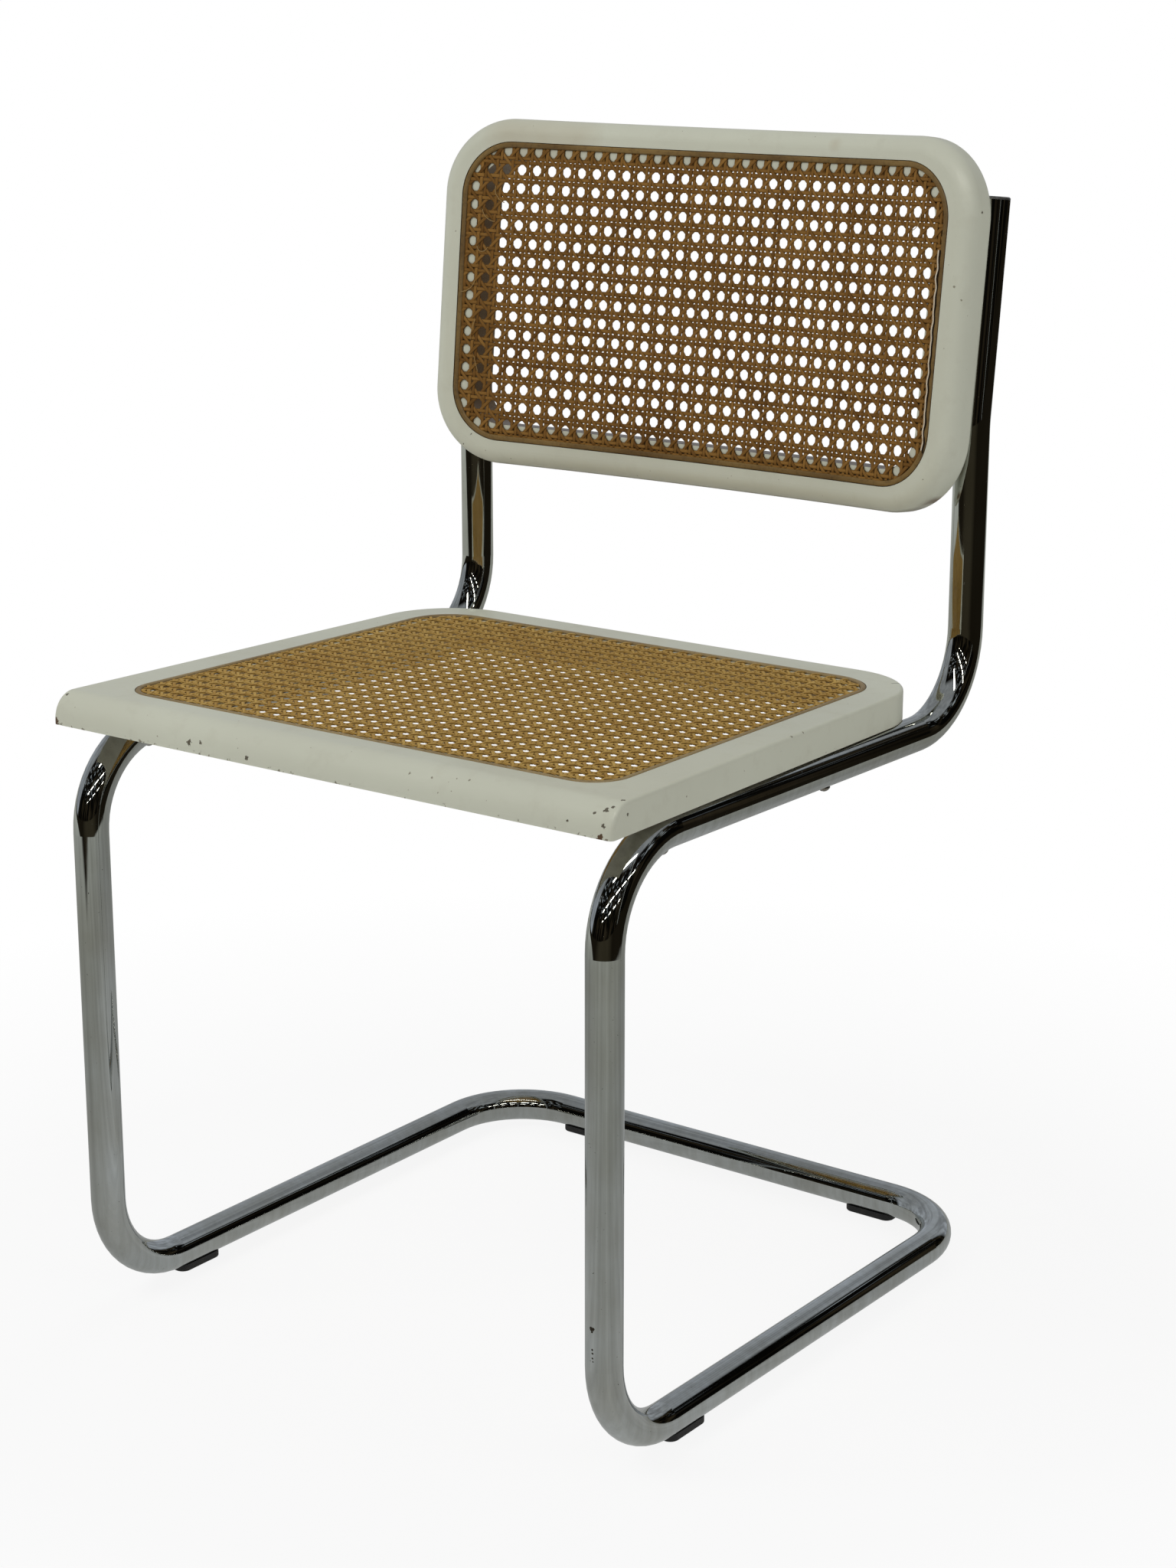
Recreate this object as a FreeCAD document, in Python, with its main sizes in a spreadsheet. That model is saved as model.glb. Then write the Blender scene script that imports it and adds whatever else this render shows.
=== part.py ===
import FreeCAD, Part
import math
import os
import re
import Sketcher

# Cantilever chair: one bent tube carries a seat frame and a curved backrest frame, both filled with cane.
# Millimetres. X points to the sitter's left, Y to the rear and Z up; the origin lies on the floor under
# the middle of the chair. Heights are from the floor and reaches are from the centreline of the front legs.

SIZES = [
    ("tube_diameter", 25.0),
    ("tube_wall", 2.0),
    ("tube_spacing", 448.0),
    ("base_depth", 470.0),
    ("bend_radius", 66.0),
    ("rail_front_height", 426.2),
    ("rail_rear_height", 422.9),
    ("upright_reach", 436.6),
    ("kink_height", 635.0),
    ("kink_radius", 124.0),
    ("upright_lean", 6.4),
    ("upright_top", 790.0),
    ("contact_gap", 0.2),
    ("cap_head", 2.0),
    ("cap_plug", 14.0),
    ("cap_gap", 0.15),
    ("cap_bevel", 0.8),
    ("glide_thickness", 3.5),
    ("glide_wrap", 2.0),
    ("glide_width", 16.0),
    ("glide_length", 42.0),
    ("glide_end_radius", 7.0),
    ("glide_foot_radius", 1.2),
    ("glide_peg", 6.0),
    ("glide_peg_height", 7.0),
    ("peg_gap", 0.2),
    ("front_glide_reach", 87.0),
    ("rear_glide_offset", 139.0),
    ("seat_thickness", 22.0),
    ("seat_overhang", 15.5),
    ("seat_depth", 406.0),
    ("seat_front_width", 481.0),
    ("seat_rear_width", 451.0),
    ("seat_front_corner", 3.5),
    ("seat_rear_corner", 62.0),
    ("seat_edge_radius", 2.5),
    ("nose_reach", 18.0),
    ("nose_drop", 19.0),
    ("seat_front_border", 33.0),
    ("seat_rear_border", 26.0),
    ("seat_side_border_front", 29.5),
    ("seat_side_border_rear", 24.5),
    ("seat_cane_front_corner", 27.0),
    ("seat_cane_rear_corner", 38.0),
    ("back_thickness", 30.5),
    ("back_radius", 1150.0),
    ("back_height", 262.5),
    ("back_centre_height", 699.4),
    ("back_top_width", 471.0),
    ("back_bottom_width", 466.0),
    ("back_corner", 57.0),
    ("back_front_edge", 12.0),
    ("back_rear_edge", 8.0),
    ("back_top_border", 17.5),
    ("back_bottom_border", 18.0),
    ("back_side_border", 20.5),
    ("back_cane_corner", 41.0),
    ("groove_width", 4.6),
    ("groove_depth", 5.0),
    ("ledge_width", 8.0),
    ("cane_thickness", 1.5),
    ("cane_edge_gap", 0.25),
    ("spline_gap", 0.2),
    ("spline_proud", 0.6),
    ("spline_round", 1.6),
    ("seat_net_pitch", 24.0),
    ("back_net_pitch", 24.0),
    ("net_gap", 13.0),
    ("net_margin", 2.0),
    ("screw_shank", 4.5),
    ("screw_head", 9.0),
    ("screw_head_height", 3.2),
    ("screw_slot", 1.2),
    ("screw_bite", 15.0),
    ("screw_gap", 0.25),
    ("pilot_end_gap", 1.5),
    ("seat_screw_front", 60.0),
    ("seat_screw_rear", 250.0),
    ("back_screw_offset", 62.0),
    ("dowel_diameter", 8.0),
    ("dowel_length", 30.0),
    ("dowel_gap", 0.1),
    ("seat_dowel_level", 8.5),
    ("back_dowel_offset", 3.0),
]
NAMES = {name for name, value in SIZES}

doc = FreeCAD.newDocument("cantilever_chair")
sheet = doc.addObject("Spreadsheet::Sheet", "Sizes")
for row, (name, value) in enumerate(SIZES, start=1):
    sheet.set("A%d" % row, name)
    sheet.set("B%d" % row, str(value))
    sheet.setAlias("B%d" % row, name)
doc.recompute()

X_AXIS = FreeCAD.Vector(1, 0, 0)
Y_AXIS = FreeCAD.Vector(0, 1, 0)
Z_AXIS = FreeCAD.Vector(0, 0, 1)
SIDES = {"left": 1, "right": -1}


# Formulas on the sheet

def cells(formula):
    """Writes a formula of size names as an expression on the sheet's cells."""
    return re.sub(r"[a-z_]+", lambda word: "Sizes." + word[0] if word[0] in NAMES else word[0], formula)


def number(formula):
    """Works out a formula of size names."""
    return float(sheet.evalExpression(formula))


def bind(item, **formulas):
    """Ties properties of an object to formulas on the sheet."""
    for name, formula in formulas.items():
        item.setExpression(name, cells(formula))


# Places that several pieces share

RUNNER_HEIGHT = "(glide_thickness + tube_diameter / 2)"
LEG_Y = "((seat_overhang - base_depth - tube_diameter / 2) / 2)"
RAIL_TILT = "atan((rail_rear_height - rail_front_height) / upright_reach)"
SEAT_RISE = "((tube_diameter / 2 + contact_gap) / cos(%s))" % RAIL_TILT
BACK_OUTER = "(back_radius + back_thickness / 2)"
BACK_INNER = "(back_radius - back_thickness / 2)"
BACK_AXIS = ("(-sqrt((%s + tube_diameter / 2 + contact_gap) ^ 2 - (tube_spacing / 2) ^ 2))" % BACK_OUTER)
LEAN_RUN = "tan(upright_lean)"
LEDGE_INSET = "(groove_width + ledge_width)"


def place(item, height, reach, tilt="0", side="0"):
    """Places a piece by its height, its reach behind the front legs, its side offset and its tilt."""
    item.Placement = FreeCAD.Placement(FreeCAD.Vector(), FreeCAD.Rotation(X_AXIS, 1))
    item.setExpression("Placement.Base.x", cells(side))
    item.setExpression("Placement.Base.y", cells("%s + %s" % (LEG_Y, reach)))
    item.setExpression("Placement.Base.z", cells(height))
    item.setExpression("Placement.Rotation.Angle", cells(tilt))


def place_on_frame(item):
    """Places a piece whose own origin is on the floor between the front legs."""
    place(item, "0", "0")


def place_on_seat(item):
    """Places a piece of the seat, whose own origin is on the underside above the front legs."""
    place(item, "rail_front_height + " + SEAT_RISE, "0", RAIL_TILT)


def place_on_back(item):
    """Places a piece of the backrest, whose own origin is midway between the uprights' centrelines."""
    reach = "upright_reach + (back_centre_height - kink_height) * " + LEAN_RUN
    place(item, "back_centre_height", reach, "-upright_lean")


# Sketches

def origin_plane(body, role):
    return next(feature for feature in body.Origin.OriginFeatures if feature.Role == role)


def add_sketch(body, name, role, lift="0"):
    """Adds a sketch on one of the body's own origin planes, lifted along its normal."""
    sketch = body.newObject("Sketcher::SketchObject", name)
    sketch.AttachmentSupport = (origin_plane(body, role), "")
    sketch.MapMode = "FlatFace"
    sketch.setExpression("AttachmentOffset.Base.z", cells(lift))
    return sketch


def dimension(sketch, kind, references, formula):
    """Adds a dimension that follows the sheet."""
    index = sketch.addConstraint(Sketcher.Constraint(kind, *references, number(formula)))
    name = "size_%d" % index
    sketch.renameConstraint(index, name)
    sketch.setExpression("Constraints." + name, cells(formula))


def fix_point(sketch, geometry, end, across, along):
    """Dimensions a point from the sketch's origin."""
    dimension(sketch, "DistanceX", (-1, 1, geometry, end), across)
    dimension(sketch, "DistanceY", (-1, 1, geometry, end), along)


def point_at(across, along):
    return FreeCAD.Vector(number(across), number(along), 0)


def add_polygon(sketch, corners):
    """Draws a closed polygon through corners given as pairs of formulas."""
    points = [point_at(*corner) for corner in corners]
    count = len(points)
    for index in range(count):
        sketch.addGeometry(Part.LineSegment(points[index], points[(index + 1) % count]))
    for index in range(count):
        sketch.addConstraint(Sketcher.Constraint("Coincident", index, 2, (index + 1) % count, 1))
    for index, corner in enumerate(corners):
        fix_point(sketch, index, 1, *corner)


def add_circles(sketch, across, along, diameters):
    """Draws circles about one centre."""
    for index, diameter in enumerate(diameters):
        circle = Part.Circle(point_at(across, along), Z_AXIS, number(diameter) / 2)
        sketch.addGeometry(circle)
        dimension(sketch, "Diameter", (index,), diameter)
        fix_point(sketch, index, 3, across, along)


def rounded_points(corners, radius_formulas):
    """Gives the lines and arcs of a path through corners, each rounded by its radius."""
    points = [point_at(*corner) for corner in corners]
    pieces = []
    start = points[0]
    for before, corner, after, radius in zip(points, points[1:], points[2:], radius_formulas):
        into = (corner - before).normalize()
        out = (after - corner).normalize()
        half_turn = into.getAngle(out) / 2
        setback = number(radius) * math.tan(half_turn)
        first = corner - into * setback
        last = corner + out * setback
        bisector = (out - into).normalize()
        middle = corner + bisector * (number(radius) / math.cos(half_turn) - number(radius))
        pieces.append(Part.LineSegment(start, first))
        pieces.append(Part.Arc(first, middle, last))
        start = last
    pieces.append(Part.LineSegment(start, points[-1]))
    return pieces


def add_path(sketch, corners, radii):
    """Draws a path of straight runs and tangent arcs whose corners and radii follow the sheet."""
    pieces = rounded_points(corners, radii)
    for piece in pieces:
        sketch.addGeometry(piece)
    for index in range(1, len(pieces), 2):
        joint = sketch.getPoint(index - 1, 2)
        near, far = (1, 2) if (sketch.getPoint(index, 1) - joint).Length < 1e-6 else (2, 1)
        sketch.addConstraint(Sketcher.Constraint("Tangent", index - 1, 2, index, near))
        sketch.addConstraint(Sketcher.Constraint("Tangent", index, far, index + 1, 1))
        dimension(sketch, "Radius", (index,), radii[index // 2])
    for index, corner in enumerate(corners[1:-1]):
        mark = sketch.addGeometry(Part.Point(point_at(*corner)), True)
        fix_point(sketch, mark, 1, *corner)
        sketch.addConstraint(Sketcher.Constraint("PointOnObject", mark, 1, 2 * index))
        sketch.addConstraint(Sketcher.Constraint("PointOnObject", mark, 1, 2 * index + 2))
    fix_point(sketch, 0, 1, *corners[0])
    fix_point(sketch, len(pieces) - 1, 2, *corners[-1])


# Features

def add_body(name):
    return doc.addObject("PartDesign::Body", name)


def add_pad(body, sketch, length, midplane=False):
    pad = body.newObject("PartDesign::Pad", sketch.Name + "_pad")
    pad.Profile = sketch
    pad.SideType = "Symmetric" if midplane else "One side"
    bind(pad, Length=length)
    return pad


def add_pocket(body, sketch, length, midplane=False, backward=False):
    """Cuts a sketch into the body and checks that it took something away."""
    doc.recompute()
    before = body.Shape.Volume
    pocket = body.newObject("PartDesign::Pocket", sketch.Name + "_cut")
    pocket.Profile = sketch
    pocket.SideType = "Symmetric" if midplane else "One side"
    pocket.Reversed = backward
    bind(pocket, Length=length)
    doc.recompute()
    if body.Shape.Volume >= before:
        raise RuntimeError(pocket.Name + " cuts nothing")
    return pocket


def add_fillet(body, base, radius, wanted):
    """Rounds those edges of the body's last feature that the test picks."""
    doc.recompute()
    edges = ["Edge%d" % index for index, edge in enumerate(base.Shape.Edges, start=1) if wanted(edge)]
    fillet = body.newObject("PartDesign::Fillet", base.Name + "_round")
    fillet.Base = (base, edges)
    bind(fillet, Radius=radius)
    return fillet


def runs_along(edge, axis):
    """Tells whether an edge is straight and parallel to an axis."""
    return isinstance(edge.Curve, Part.Line) and abs(edge.Curve.Direction.dot(axis)) > 0.999


def rounded_prism(name, role, corners, corner_radii, length, lift="0"):
    """Makes a prism on a polygon, each of whose corners is rounded by a radius of its own or left sharp.

    A prism on the floor plane rises from its lift; one on the front plane reaches both ways.
    """
    upright = role == "XZ_Plane"
    body = add_body(name)
    sketch = add_sketch(body, name + "_outline", role, lift)
    add_polygon(sketch, corners)
    last = add_pad(body, sketch, length, midplane=upright)
    axis = Y_AXIS if upright else Z_AXIS
    for radius in sorted(set(corner_radii) - {None}):
        spots = [point_at(*corner) for corner, own in zip(corners, corner_radii) if own == radius]

        def at_corner(edge):
            middle = edge.CenterOfMass
            along = middle.z if upright else middle.y
            close = any(math.hypot(middle.x - spot.x, along - spot.y) < 0.01 for spot in spots)
            return close and runs_along(edge, axis)

        last = add_fillet(body, last, radius, at_corner)
    doc.recompute()
    return body


def cut(name, base, tool):
    result = doc.addObject("Part::Cut", name)
    result.Base = base
    result.Tool = tool
    doc.recompute()
    return result


def common(name, base, tool):
    result = doc.addObject("Part::Common", name)
    result.Base = base
    result.Tool = tool
    doc.recompute()
    return result


def fuse(name, pieces):
    result = doc.addObject("Part::MultiFuse", name)
    result.Shapes = pieces
    doc.recompute()
    return result


def round_by(name, base, radii_of):
    """Rounds the edges for which a function gives a radius at each end."""
    result = doc.addObject("Part::Fillet", name)
    result.Base = base
    edges = [(index, radii_of(edge)) for index, edge in enumerate(base.Shape.Edges, start=1)]
    result.Edges = [(index, *radii) for index, radii in edges if radii]
    doc.recompute()
    return result


def round_edges(name, base, radius, wanted):
    """Rounds those edges of a shape that the test picks."""
    size = number(radius)
    return round_by(name, base, lambda edge: (size, size) if wanted(edge) else None)


def group(name, pieces):
    """Keeps like solids in one sub-part."""
    result = doc.addObject("Part::Compound", name)
    result.Links = pieces
    return result


def rod(name, diameter, length, start, direction):
    """Makes a cylinder that starts at a point and runs along a direction."""
    result = doc.addObject("Part::Cylinder", name)
    bind(result, Radius="(%s) / 2" % diameter, Height=length)
    result.Placement = FreeCAD.Placement(start, FreeCAD.Rotation(Z_AXIS, direction))
    return result


# Bent tube

def drill_on_rail(body, name, reach, diameter):
    """Drills square through a seat rail at a distance along it."""
    hole = add_sketch(body, name, "XY_Plane", "rail_front_height")
    turn = FreeCAD.Rotation(X_AXIS, number(RAIL_TILT))
    hole.AttachmentOffset = FreeCAD.Placement(FreeCAD.Vector(0, 0, number("rail_front_height")), turn)
    hole.setExpression("AttachmentOffset.Rotation.Angle", cells(RAIL_TILT))
    add_circles(hole, "tube_spacing / 2", reach, [diameter])
    return add_pocket(body, hole, "2 * tube_diameter", midplane=True)


def drill_on_upright(body, name, offset, diameter):
    """Drills square through the leaning end of an upright at a distance from the backrest's middle."""
    hole = add_sketch(body, name, "XZ_Plane")
    hole.AttachmentOffset = FreeCAD.Placement(FreeCAD.Vector(), FreeCAD.Rotation(X_AXIS, 1))
    hole.setExpression("AttachmentOffset.Rotation.Angle", cells("-upright_lean"))
    hole.setExpression("AttachmentOffset.Base.y", cells("back_centre_height"))
    reach = "upright_reach + (back_centre_height - kink_height) * " + LEAN_RUN
    hole.setExpression("AttachmentOffset.Base.z", cells("-(%s)" % reach))
    add_circles(hole, "tube_spacing / 2", offset, [diameter])
    return add_pocket(body, hole, "2 * tube_diameter", midplane=True)


def drill_from_below(body, name, side, reach, diameter):
    """Drills the lower wall of the tube near the floor."""
    hole = add_sketch(body, name, "XY_Plane")
    add_circles(hole, side, reach, [diameter])
    return add_pocket(body, hole, RUNNER_HEIGHT, backward=True)


def make_tube_frame():
    """Bends the side run and the floor run of one half and mirrors them."""
    body = add_body("tube_frame")
    half_spacing = "tube_spacing / 2"
    bend_start = "base_depth - bend_radius"

    section = add_sketch(body, "tube_section", "XZ_Plane", "-(%s)" % bend_start)
    add_circles(section, half_spacing, RUNNER_HEIGHT, ["tube_diameter", "tube_diameter - 2 * tube_wall"])

    side = add_sketch(body, "side_run", "YZ_Plane", half_spacing)
    top_reach = "upright_reach + (upright_top - kink_height) * " + LEAN_RUN
    add_path(side,
             [(bend_start, RUNNER_HEIGHT),
              ("0", RUNNER_HEIGHT),
              ("0", "rail_front_height"),
              ("upright_reach", "rail_rear_height"),
              ("upright_reach", "kink_height"),
              (top_reach, "upright_top")],
             ["bend_radius", "bend_radius", "bend_radius", "kink_radius"])

    floor = add_sketch(body, "floor_run", "XY_Plane", RUNNER_HEIGHT)
    centre = point_at(half_spacing + " - bend_radius", bend_start)
    bend = Part.Circle(centre, Z_AXIS, number("bend_radius"))
    floor.addGeometry(Part.ArcOfCircle(bend, 0, math.pi / 2))
    floor.addGeometry(Part.LineSegment(point_at(half_spacing + " - bend_radius", "base_depth"),
                                       point_at("0", "base_depth")))
    floor.addConstraint(Sketcher.Constraint("Tangent", 0, 2, 1, 1))
    floor.addConstraint(Sketcher.Constraint("Horizontal", 1))
    floor.addConstraint(Sketcher.Constraint("PointOnObject", 1, 2, -2))
    dimension(floor, "Radius", (0,), "bend_radius")
    fix_point(floor, 0, 1, half_spacing, bend_start)

    features = []
    for path in (side, floor):
        pipe = body.newObject("PartDesign::AdditivePipe", path.Name + "_tube")
        runs = [index for index in range(path.GeometryCount) if not path.getConstruction(index)]
        pipe.Profile = section
        pipe.Spine = (path, ["Edge%d" % (index + 1) for index in range(len(runs))])
        doc.recompute()
        features.append(pipe)

    peg_hole = "glide_peg + 2 * peg_gap"
    screw_hole = "screw_shank + 2 * screw_gap"
    features.append(drill_from_below(body, "front_glide_hole", half_spacing, "front_glide_reach", peg_hole))
    features.append(drill_from_below(body, "rear_glide_hole", "rear_glide_offset", "base_depth", peg_hole))
    features.append(drill_on_rail(body, "front_screw_hole", "seat_screw_front", screw_hole))
    features.append(drill_on_rail(body, "rear_screw_hole", "seat_screw_rear", screw_hole))
    features.append(drill_on_upright(body, "upper_screw_hole", "back_screw_offset", screw_hole))
    features.append(drill_on_upright(body, "lower_screw_hole", "-back_screw_offset", screw_hole))

    mirror = body.newObject("PartDesign::Mirrored", "right_half")
    mirror.Originals = features
    mirror.MirrorPlane = (origin_plane(body, "YZ_Plane"), [""])
    body.Tip = mirror
    place_on_frame(body)
    return body


# Glides and caps

def make_glide(name, offset, reach, turn):
    """A saddle that wraps the underside of the tube, with a peg through its lower wall."""
    body = add_body(name)
    outline = add_sketch(body, name + "_outline", "XY_Plane")
    half_length = "glide_length / 2"
    half_width = "glide_width / 2"
    add_polygon(outline, [("-" + half_width, "-" + half_length), (half_width, "-" + half_length),
                          (half_width, half_length), ("-" + half_width, half_length)])
    pad = add_pad(body, outline, "glide_thickness + glide_wrap")
    ends = add_fillet(body, pad, "glide_end_radius", lambda edge: runs_along(edge, Z_AXIS))
    add_fillet(body, ends, "glide_foot_radius", lambda edge: edge.BoundBox.ZMax < 0.001)
    saddle = add_sketch(body, name + "_saddle", "XZ_Plane")
    add_circles(saddle, "0", RUNNER_HEIGHT, ["tube_diameter + 2 * contact_gap"])
    add_pocket(body, saddle, "2 * glide_length", midplane=True)
    peg = add_sketch(body, name + "_peg", "XY_Plane", "glide_thickness / 2")
    add_circles(peg, "0", "0", ["glide_peg"])
    add_pad(body, peg, "glide_thickness / 2 + glide_peg_height")
    body.Placement = FreeCAD.Placement(FreeCAD.Vector(), FreeCAD.Rotation(Z_AXIS, turn))
    body.setExpression("Placement.Base.x", cells(offset))
    body.setExpression("Placement.Base.y", cells("%s + %s" % (LEG_Y, reach)))
    return body


def make_cap(name, side):
    """A turned plug in the upper end of an upright."""
    body = add_body(name)
    sketch = add_sketch(body, name + "_profile", "XZ_Plane")
    head = "(tube_diameter / 2)"
    plug = "(tube_diameter / 2 - tube_wall - cap_gap)"
    add_polygon(sketch, [("0", "-cap_plug"), (plug + " - cap_bevel", "-cap_plug"),
                         (plug, "cap_bevel - cap_plug"), (plug, "0"), (head, "0"),
                         (head, "cap_head - cap_bevel"), (head + " - cap_bevel", "cap_head"),
                         ("0", "cap_head")])
    turned = body.newObject("PartDesign::Revolution", name + "_turned")
    turned.Profile = sketch
    turned.ReferenceAxis = (sketch, ["V_Axis"])
    turned.Angle = 360
    reach = "upright_reach + (upright_top - kink_height) * " + LEAN_RUN
    place(body, "upright_top", reach, "-upright_lean", "%d * tube_spacing / 2" % side)
    return body


# Mitred frames. A member's sector runs along each mitre from outside the frame to inside its opening.

SECTOR_START = -0.3
SECTOR_END = 1.6


def along_mitre(outer, inner, share):
    """A point on the line from an outer corner to an inner one, as a pair of formulas."""
    return tuple("((%s) * %s + (%s) * %s)" % (far, 1 - share, near, share) for far, near in zip(outer, inner))


def member(name, blank, role, outer, inner, index, length, lift="0"):
    """Parts one member off a four-sided frame blank at the mitres of its two corners."""
    after = (index + 1) % 4
    body = add_body(name + "_sector")
    sketch = add_sketch(body, name + "_mitres", role, lift)
    add_polygon(sketch, [along_mitre(outer[index], inner[index], SECTOR_START),
                         along_mitre(outer[after], inner[after], SECTOR_START),
                         along_mitre(outer[after], inner[after], SECTOR_END),
                         along_mitre(outer[index], inner[index], SECTOR_END)])
    add_pad(body, sketch, length, midplane=role == "XZ_Plane")
    return common(name, blank, body)


def mitre_middle(outer, inner, outer_radius, inner_radius):
    """The middle of a mitre between two rounded corners, and the direction square to it."""
    far = point_at(*outer)
    near = point_at(*inner)
    inward = (near - far).normalize()
    corner_share = math.sqrt(2) - 1
    first = far + inward * (number(outer_radius) * corner_share)
    last = near + inward * (number(inner_radius) * corner_share)
    return (first + last) / 2, FreeCAD.Vector(-inward.y, inward.x, 0)


# Seat. Its outlines are formulas of the distance behind the front legs.

SEAT_TAPER = "((seat_front_width - seat_rear_width) / 2 / seat_depth)"
SEAT_CANE_DEPTH = "(seat_depth - seat_front_border - seat_rear_border)"
SEAT_CANE_TAPER = ("(%s + (seat_side_border_rear - seat_side_border_front) / %s)"
                   % (SEAT_TAPER, SEAT_CANE_DEPTH))
SEAT_CANE_HALF = "(seat_front_width / 2 - %s * seat_front_border - seat_side_border_front)" % SEAT_TAPER
SEAT_OUTLINE = [("-seat_front_width / 2", "-seat_overhang"),
                ("seat_front_width / 2", "-seat_overhang"),
                ("seat_rear_width / 2", "seat_depth - seat_overhang"),
                ("-seat_rear_width / 2", "seat_depth - seat_overhang")]
SEAT_RADII = ["seat_front_corner"] * 2 + ["seat_rear_corner"] * 2
SEAT_PLATE_RADII = [None, None, "seat_rear_corner", "seat_rear_corner"]
SEAT_LEDGE = "(seat_thickness - cane_thickness)"
SEAT_GROOVE_FLOOR = "(%s - groove_depth)" % SEAT_LEDGE


def seat_inner_outline(inset):
    """Corners of the cane groove's outer edge, moved inward by an inset."""
    front = "(seat_front_border + (%s) - seat_overhang)" % inset
    rear = "(seat_depth - seat_rear_border - (%s) - seat_overhang)" % inset
    front_half = "(%s - (%s) * (1 + %s))" % (SEAT_CANE_HALF, inset, SEAT_CANE_TAPER)
    rear_half = "(%s - %s * (%s - (%s)) - (%s))" % (
        SEAT_CANE_HALF, SEAT_CANE_TAPER, SEAT_CANE_DEPTH, inset, inset)
    return [("-" + front_half, front), (front_half, front), (rear_half, rear), ("-" + rear_half, rear)]


def seat_inner_radii(inset):
    return ["seat_cane_front_corner - (%s)" % inset] * 2 + ["seat_cane_rear_corner - (%s)" % inset] * 2


def seat_prism(name, inset, bottom, height):
    return rounded_prism(name, "XY_Plane", seat_inner_outline(inset), seat_inner_radii(inset), height, bottom)


def seat_ring(name, outset, inset, bottom, height):
    """A ring that follows the cane groove, between two insets."""
    outside = seat_prism(name + "_outside", outset, bottom, height)
    inside = seat_prism(name + "_inside", inset, bottom + " - 1", height + " + 2")
    return cut(name, outside, inside)


def make_seat_profile():
    """The seat seen from the side, with an elliptical nose, as wide as the seat and more."""
    body = add_body("seat_profile")
    profile = add_sketch(body, "seat_side_profile", "YZ_Plane")
    front = "-seat_overhang"
    rear = "seat_depth"
    nose_end = "(nose_reach - seat_overhang)"
    nose_level = "(seat_thickness - nose_drop)"
    corners = [(front, "0"), (rear, "0"), (rear, "seat_thickness"), (nose_end, "seat_thickness"),
               (front, nose_level)]
    points = [point_at(*corner) for corner in corners]
    for first, last in ((0, 1), (1, 2), (2, 3), (4, 0)):
        profile.addGeometry(Part.LineSegment(points[first], points[last]))
    centre = point_at(nose_end, nose_level)
    wide = number("nose_reach") > number("nose_drop")
    ellipse = Part.Ellipse(points[4], points[3], centre) if wide else Part.Ellipse(points[3], points[4], centre)
    profile.addGeometry(Part.ArcOfEllipse(ellipse, ellipse.parameter(points[3]), ellipse.parameter(points[4])))
    joints = ((0, 2, 1, 1), (1, 2, 2, 1), (2, 2, 4, 1), (4, 2, 3, 1), (3, 2, 0, 1))
    for joint in joints:
        profile.addConstraint(Sketcher.Constraint("Coincident", *joint))
    for geometry, corner in zip((0, 1, 2, 4, 3), corners):
        fix_point(profile, geometry, 1, *corner)
    fix_point(profile, 4, 3, nose_end, nose_level)
    add_pad(body, profile, "2 * seat_front_width", midplane=True)
    return body


def seat_screw_places():
    return [FreeCAD.Vector(side * number("tube_spacing / 2"), number(reach), 0)
            for side in SIDES.values() for reach in ("seat_screw_front", "seat_screw_rear")]


def seat_dowel_places():
    """Middle and direction of the dowel in each seat corner."""
    outline = seat_inner_outline(LEDGE_INSET)
    level = Z_AXIS * number("seat_dowel_level")
    places = []
    for outer, inner, outer_radius, inner_radius in zip(
            SEAT_OUTLINE, outline, SEAT_RADII, seat_inner_radii(LEDGE_INSET)):
        middle, direction = mitre_middle(outer, inner, outer_radius, inner_radius)
        places.append((middle + level, direction))
    return places


def make_dowels(name, places, diameter, length):
    """Dowels or their holes, each set about its middle."""
    half = number(length) / 2
    return [rod("%s_%d" % (name, index), diameter, length, middle - direction * half, direction)
            for index, (middle, direction) in enumerate(places, start=1)]


def make_pilots(name, places, direction):
    """Screw holes that start outside the wood and end a little past the screws."""
    run_in = "tube_diameter / 2"
    return [rod("%s_%d" % (name, index), "screw_shank + 2 * screw_gap",
                run_in + " + screw_bite + pilot_end_gap", spot - direction * number(run_in), direction)
            for index, spot in enumerate(places, start=1)]


def make_screws(name, places, direction):
    """Slotted round-headed wood screws whose heads bear on the far side of the tube."""
    screws = []
    reach = "(tube_diameter + contact_gap + screw_gap)"
    dome = "(((screw_head / 2) ^ 2 + screw_head_height ^ 2) / (2 * screw_head_height))"
    root = "screw_head_height / 4"
    turn = FreeCAD.Rotation(Z_AXIS, direction * -1)
    for index, start in enumerate(places, start=1):
        bearing = start - direction * number(reach)
        shank = rod("%s_shank_%d" % (name, index), "screw_shank", "%s + screw_bite + %s" % (reach, root),
                    bearing - direction * number(root), direction)
        head = doc.addObject("Part::Sphere", "%s_head_%d" % (name, index))
        bind(head, Radius=dome, Angle1="asin(1 - screw_head_height / %s)" % dome)
        head.Placement = FreeCAD.Placement(bearing + direction * number(dome + " - screw_head_height"), turn)
        slot = doc.addObject("Part::Box", "%s_slot_%d" % (name, index))
        bind(slot, Length="screw_slot", Width="2 * screw_head", Height="screw_head_height")
        corner = FreeCAD.Vector(-number("screw_slot / 2"), -number("screw_head"), number("screw_head_height / 2"))
        slot.Placement = FreeCAD.Placement(bearing + turn.multVec(corner), turn)
        whole = fuse("%s_blank_%d" % (name, index), [shank, head])
        screws.append(cut("%s_%d" % (name, index), whole, slot))
    return group(name, screws)


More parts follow.
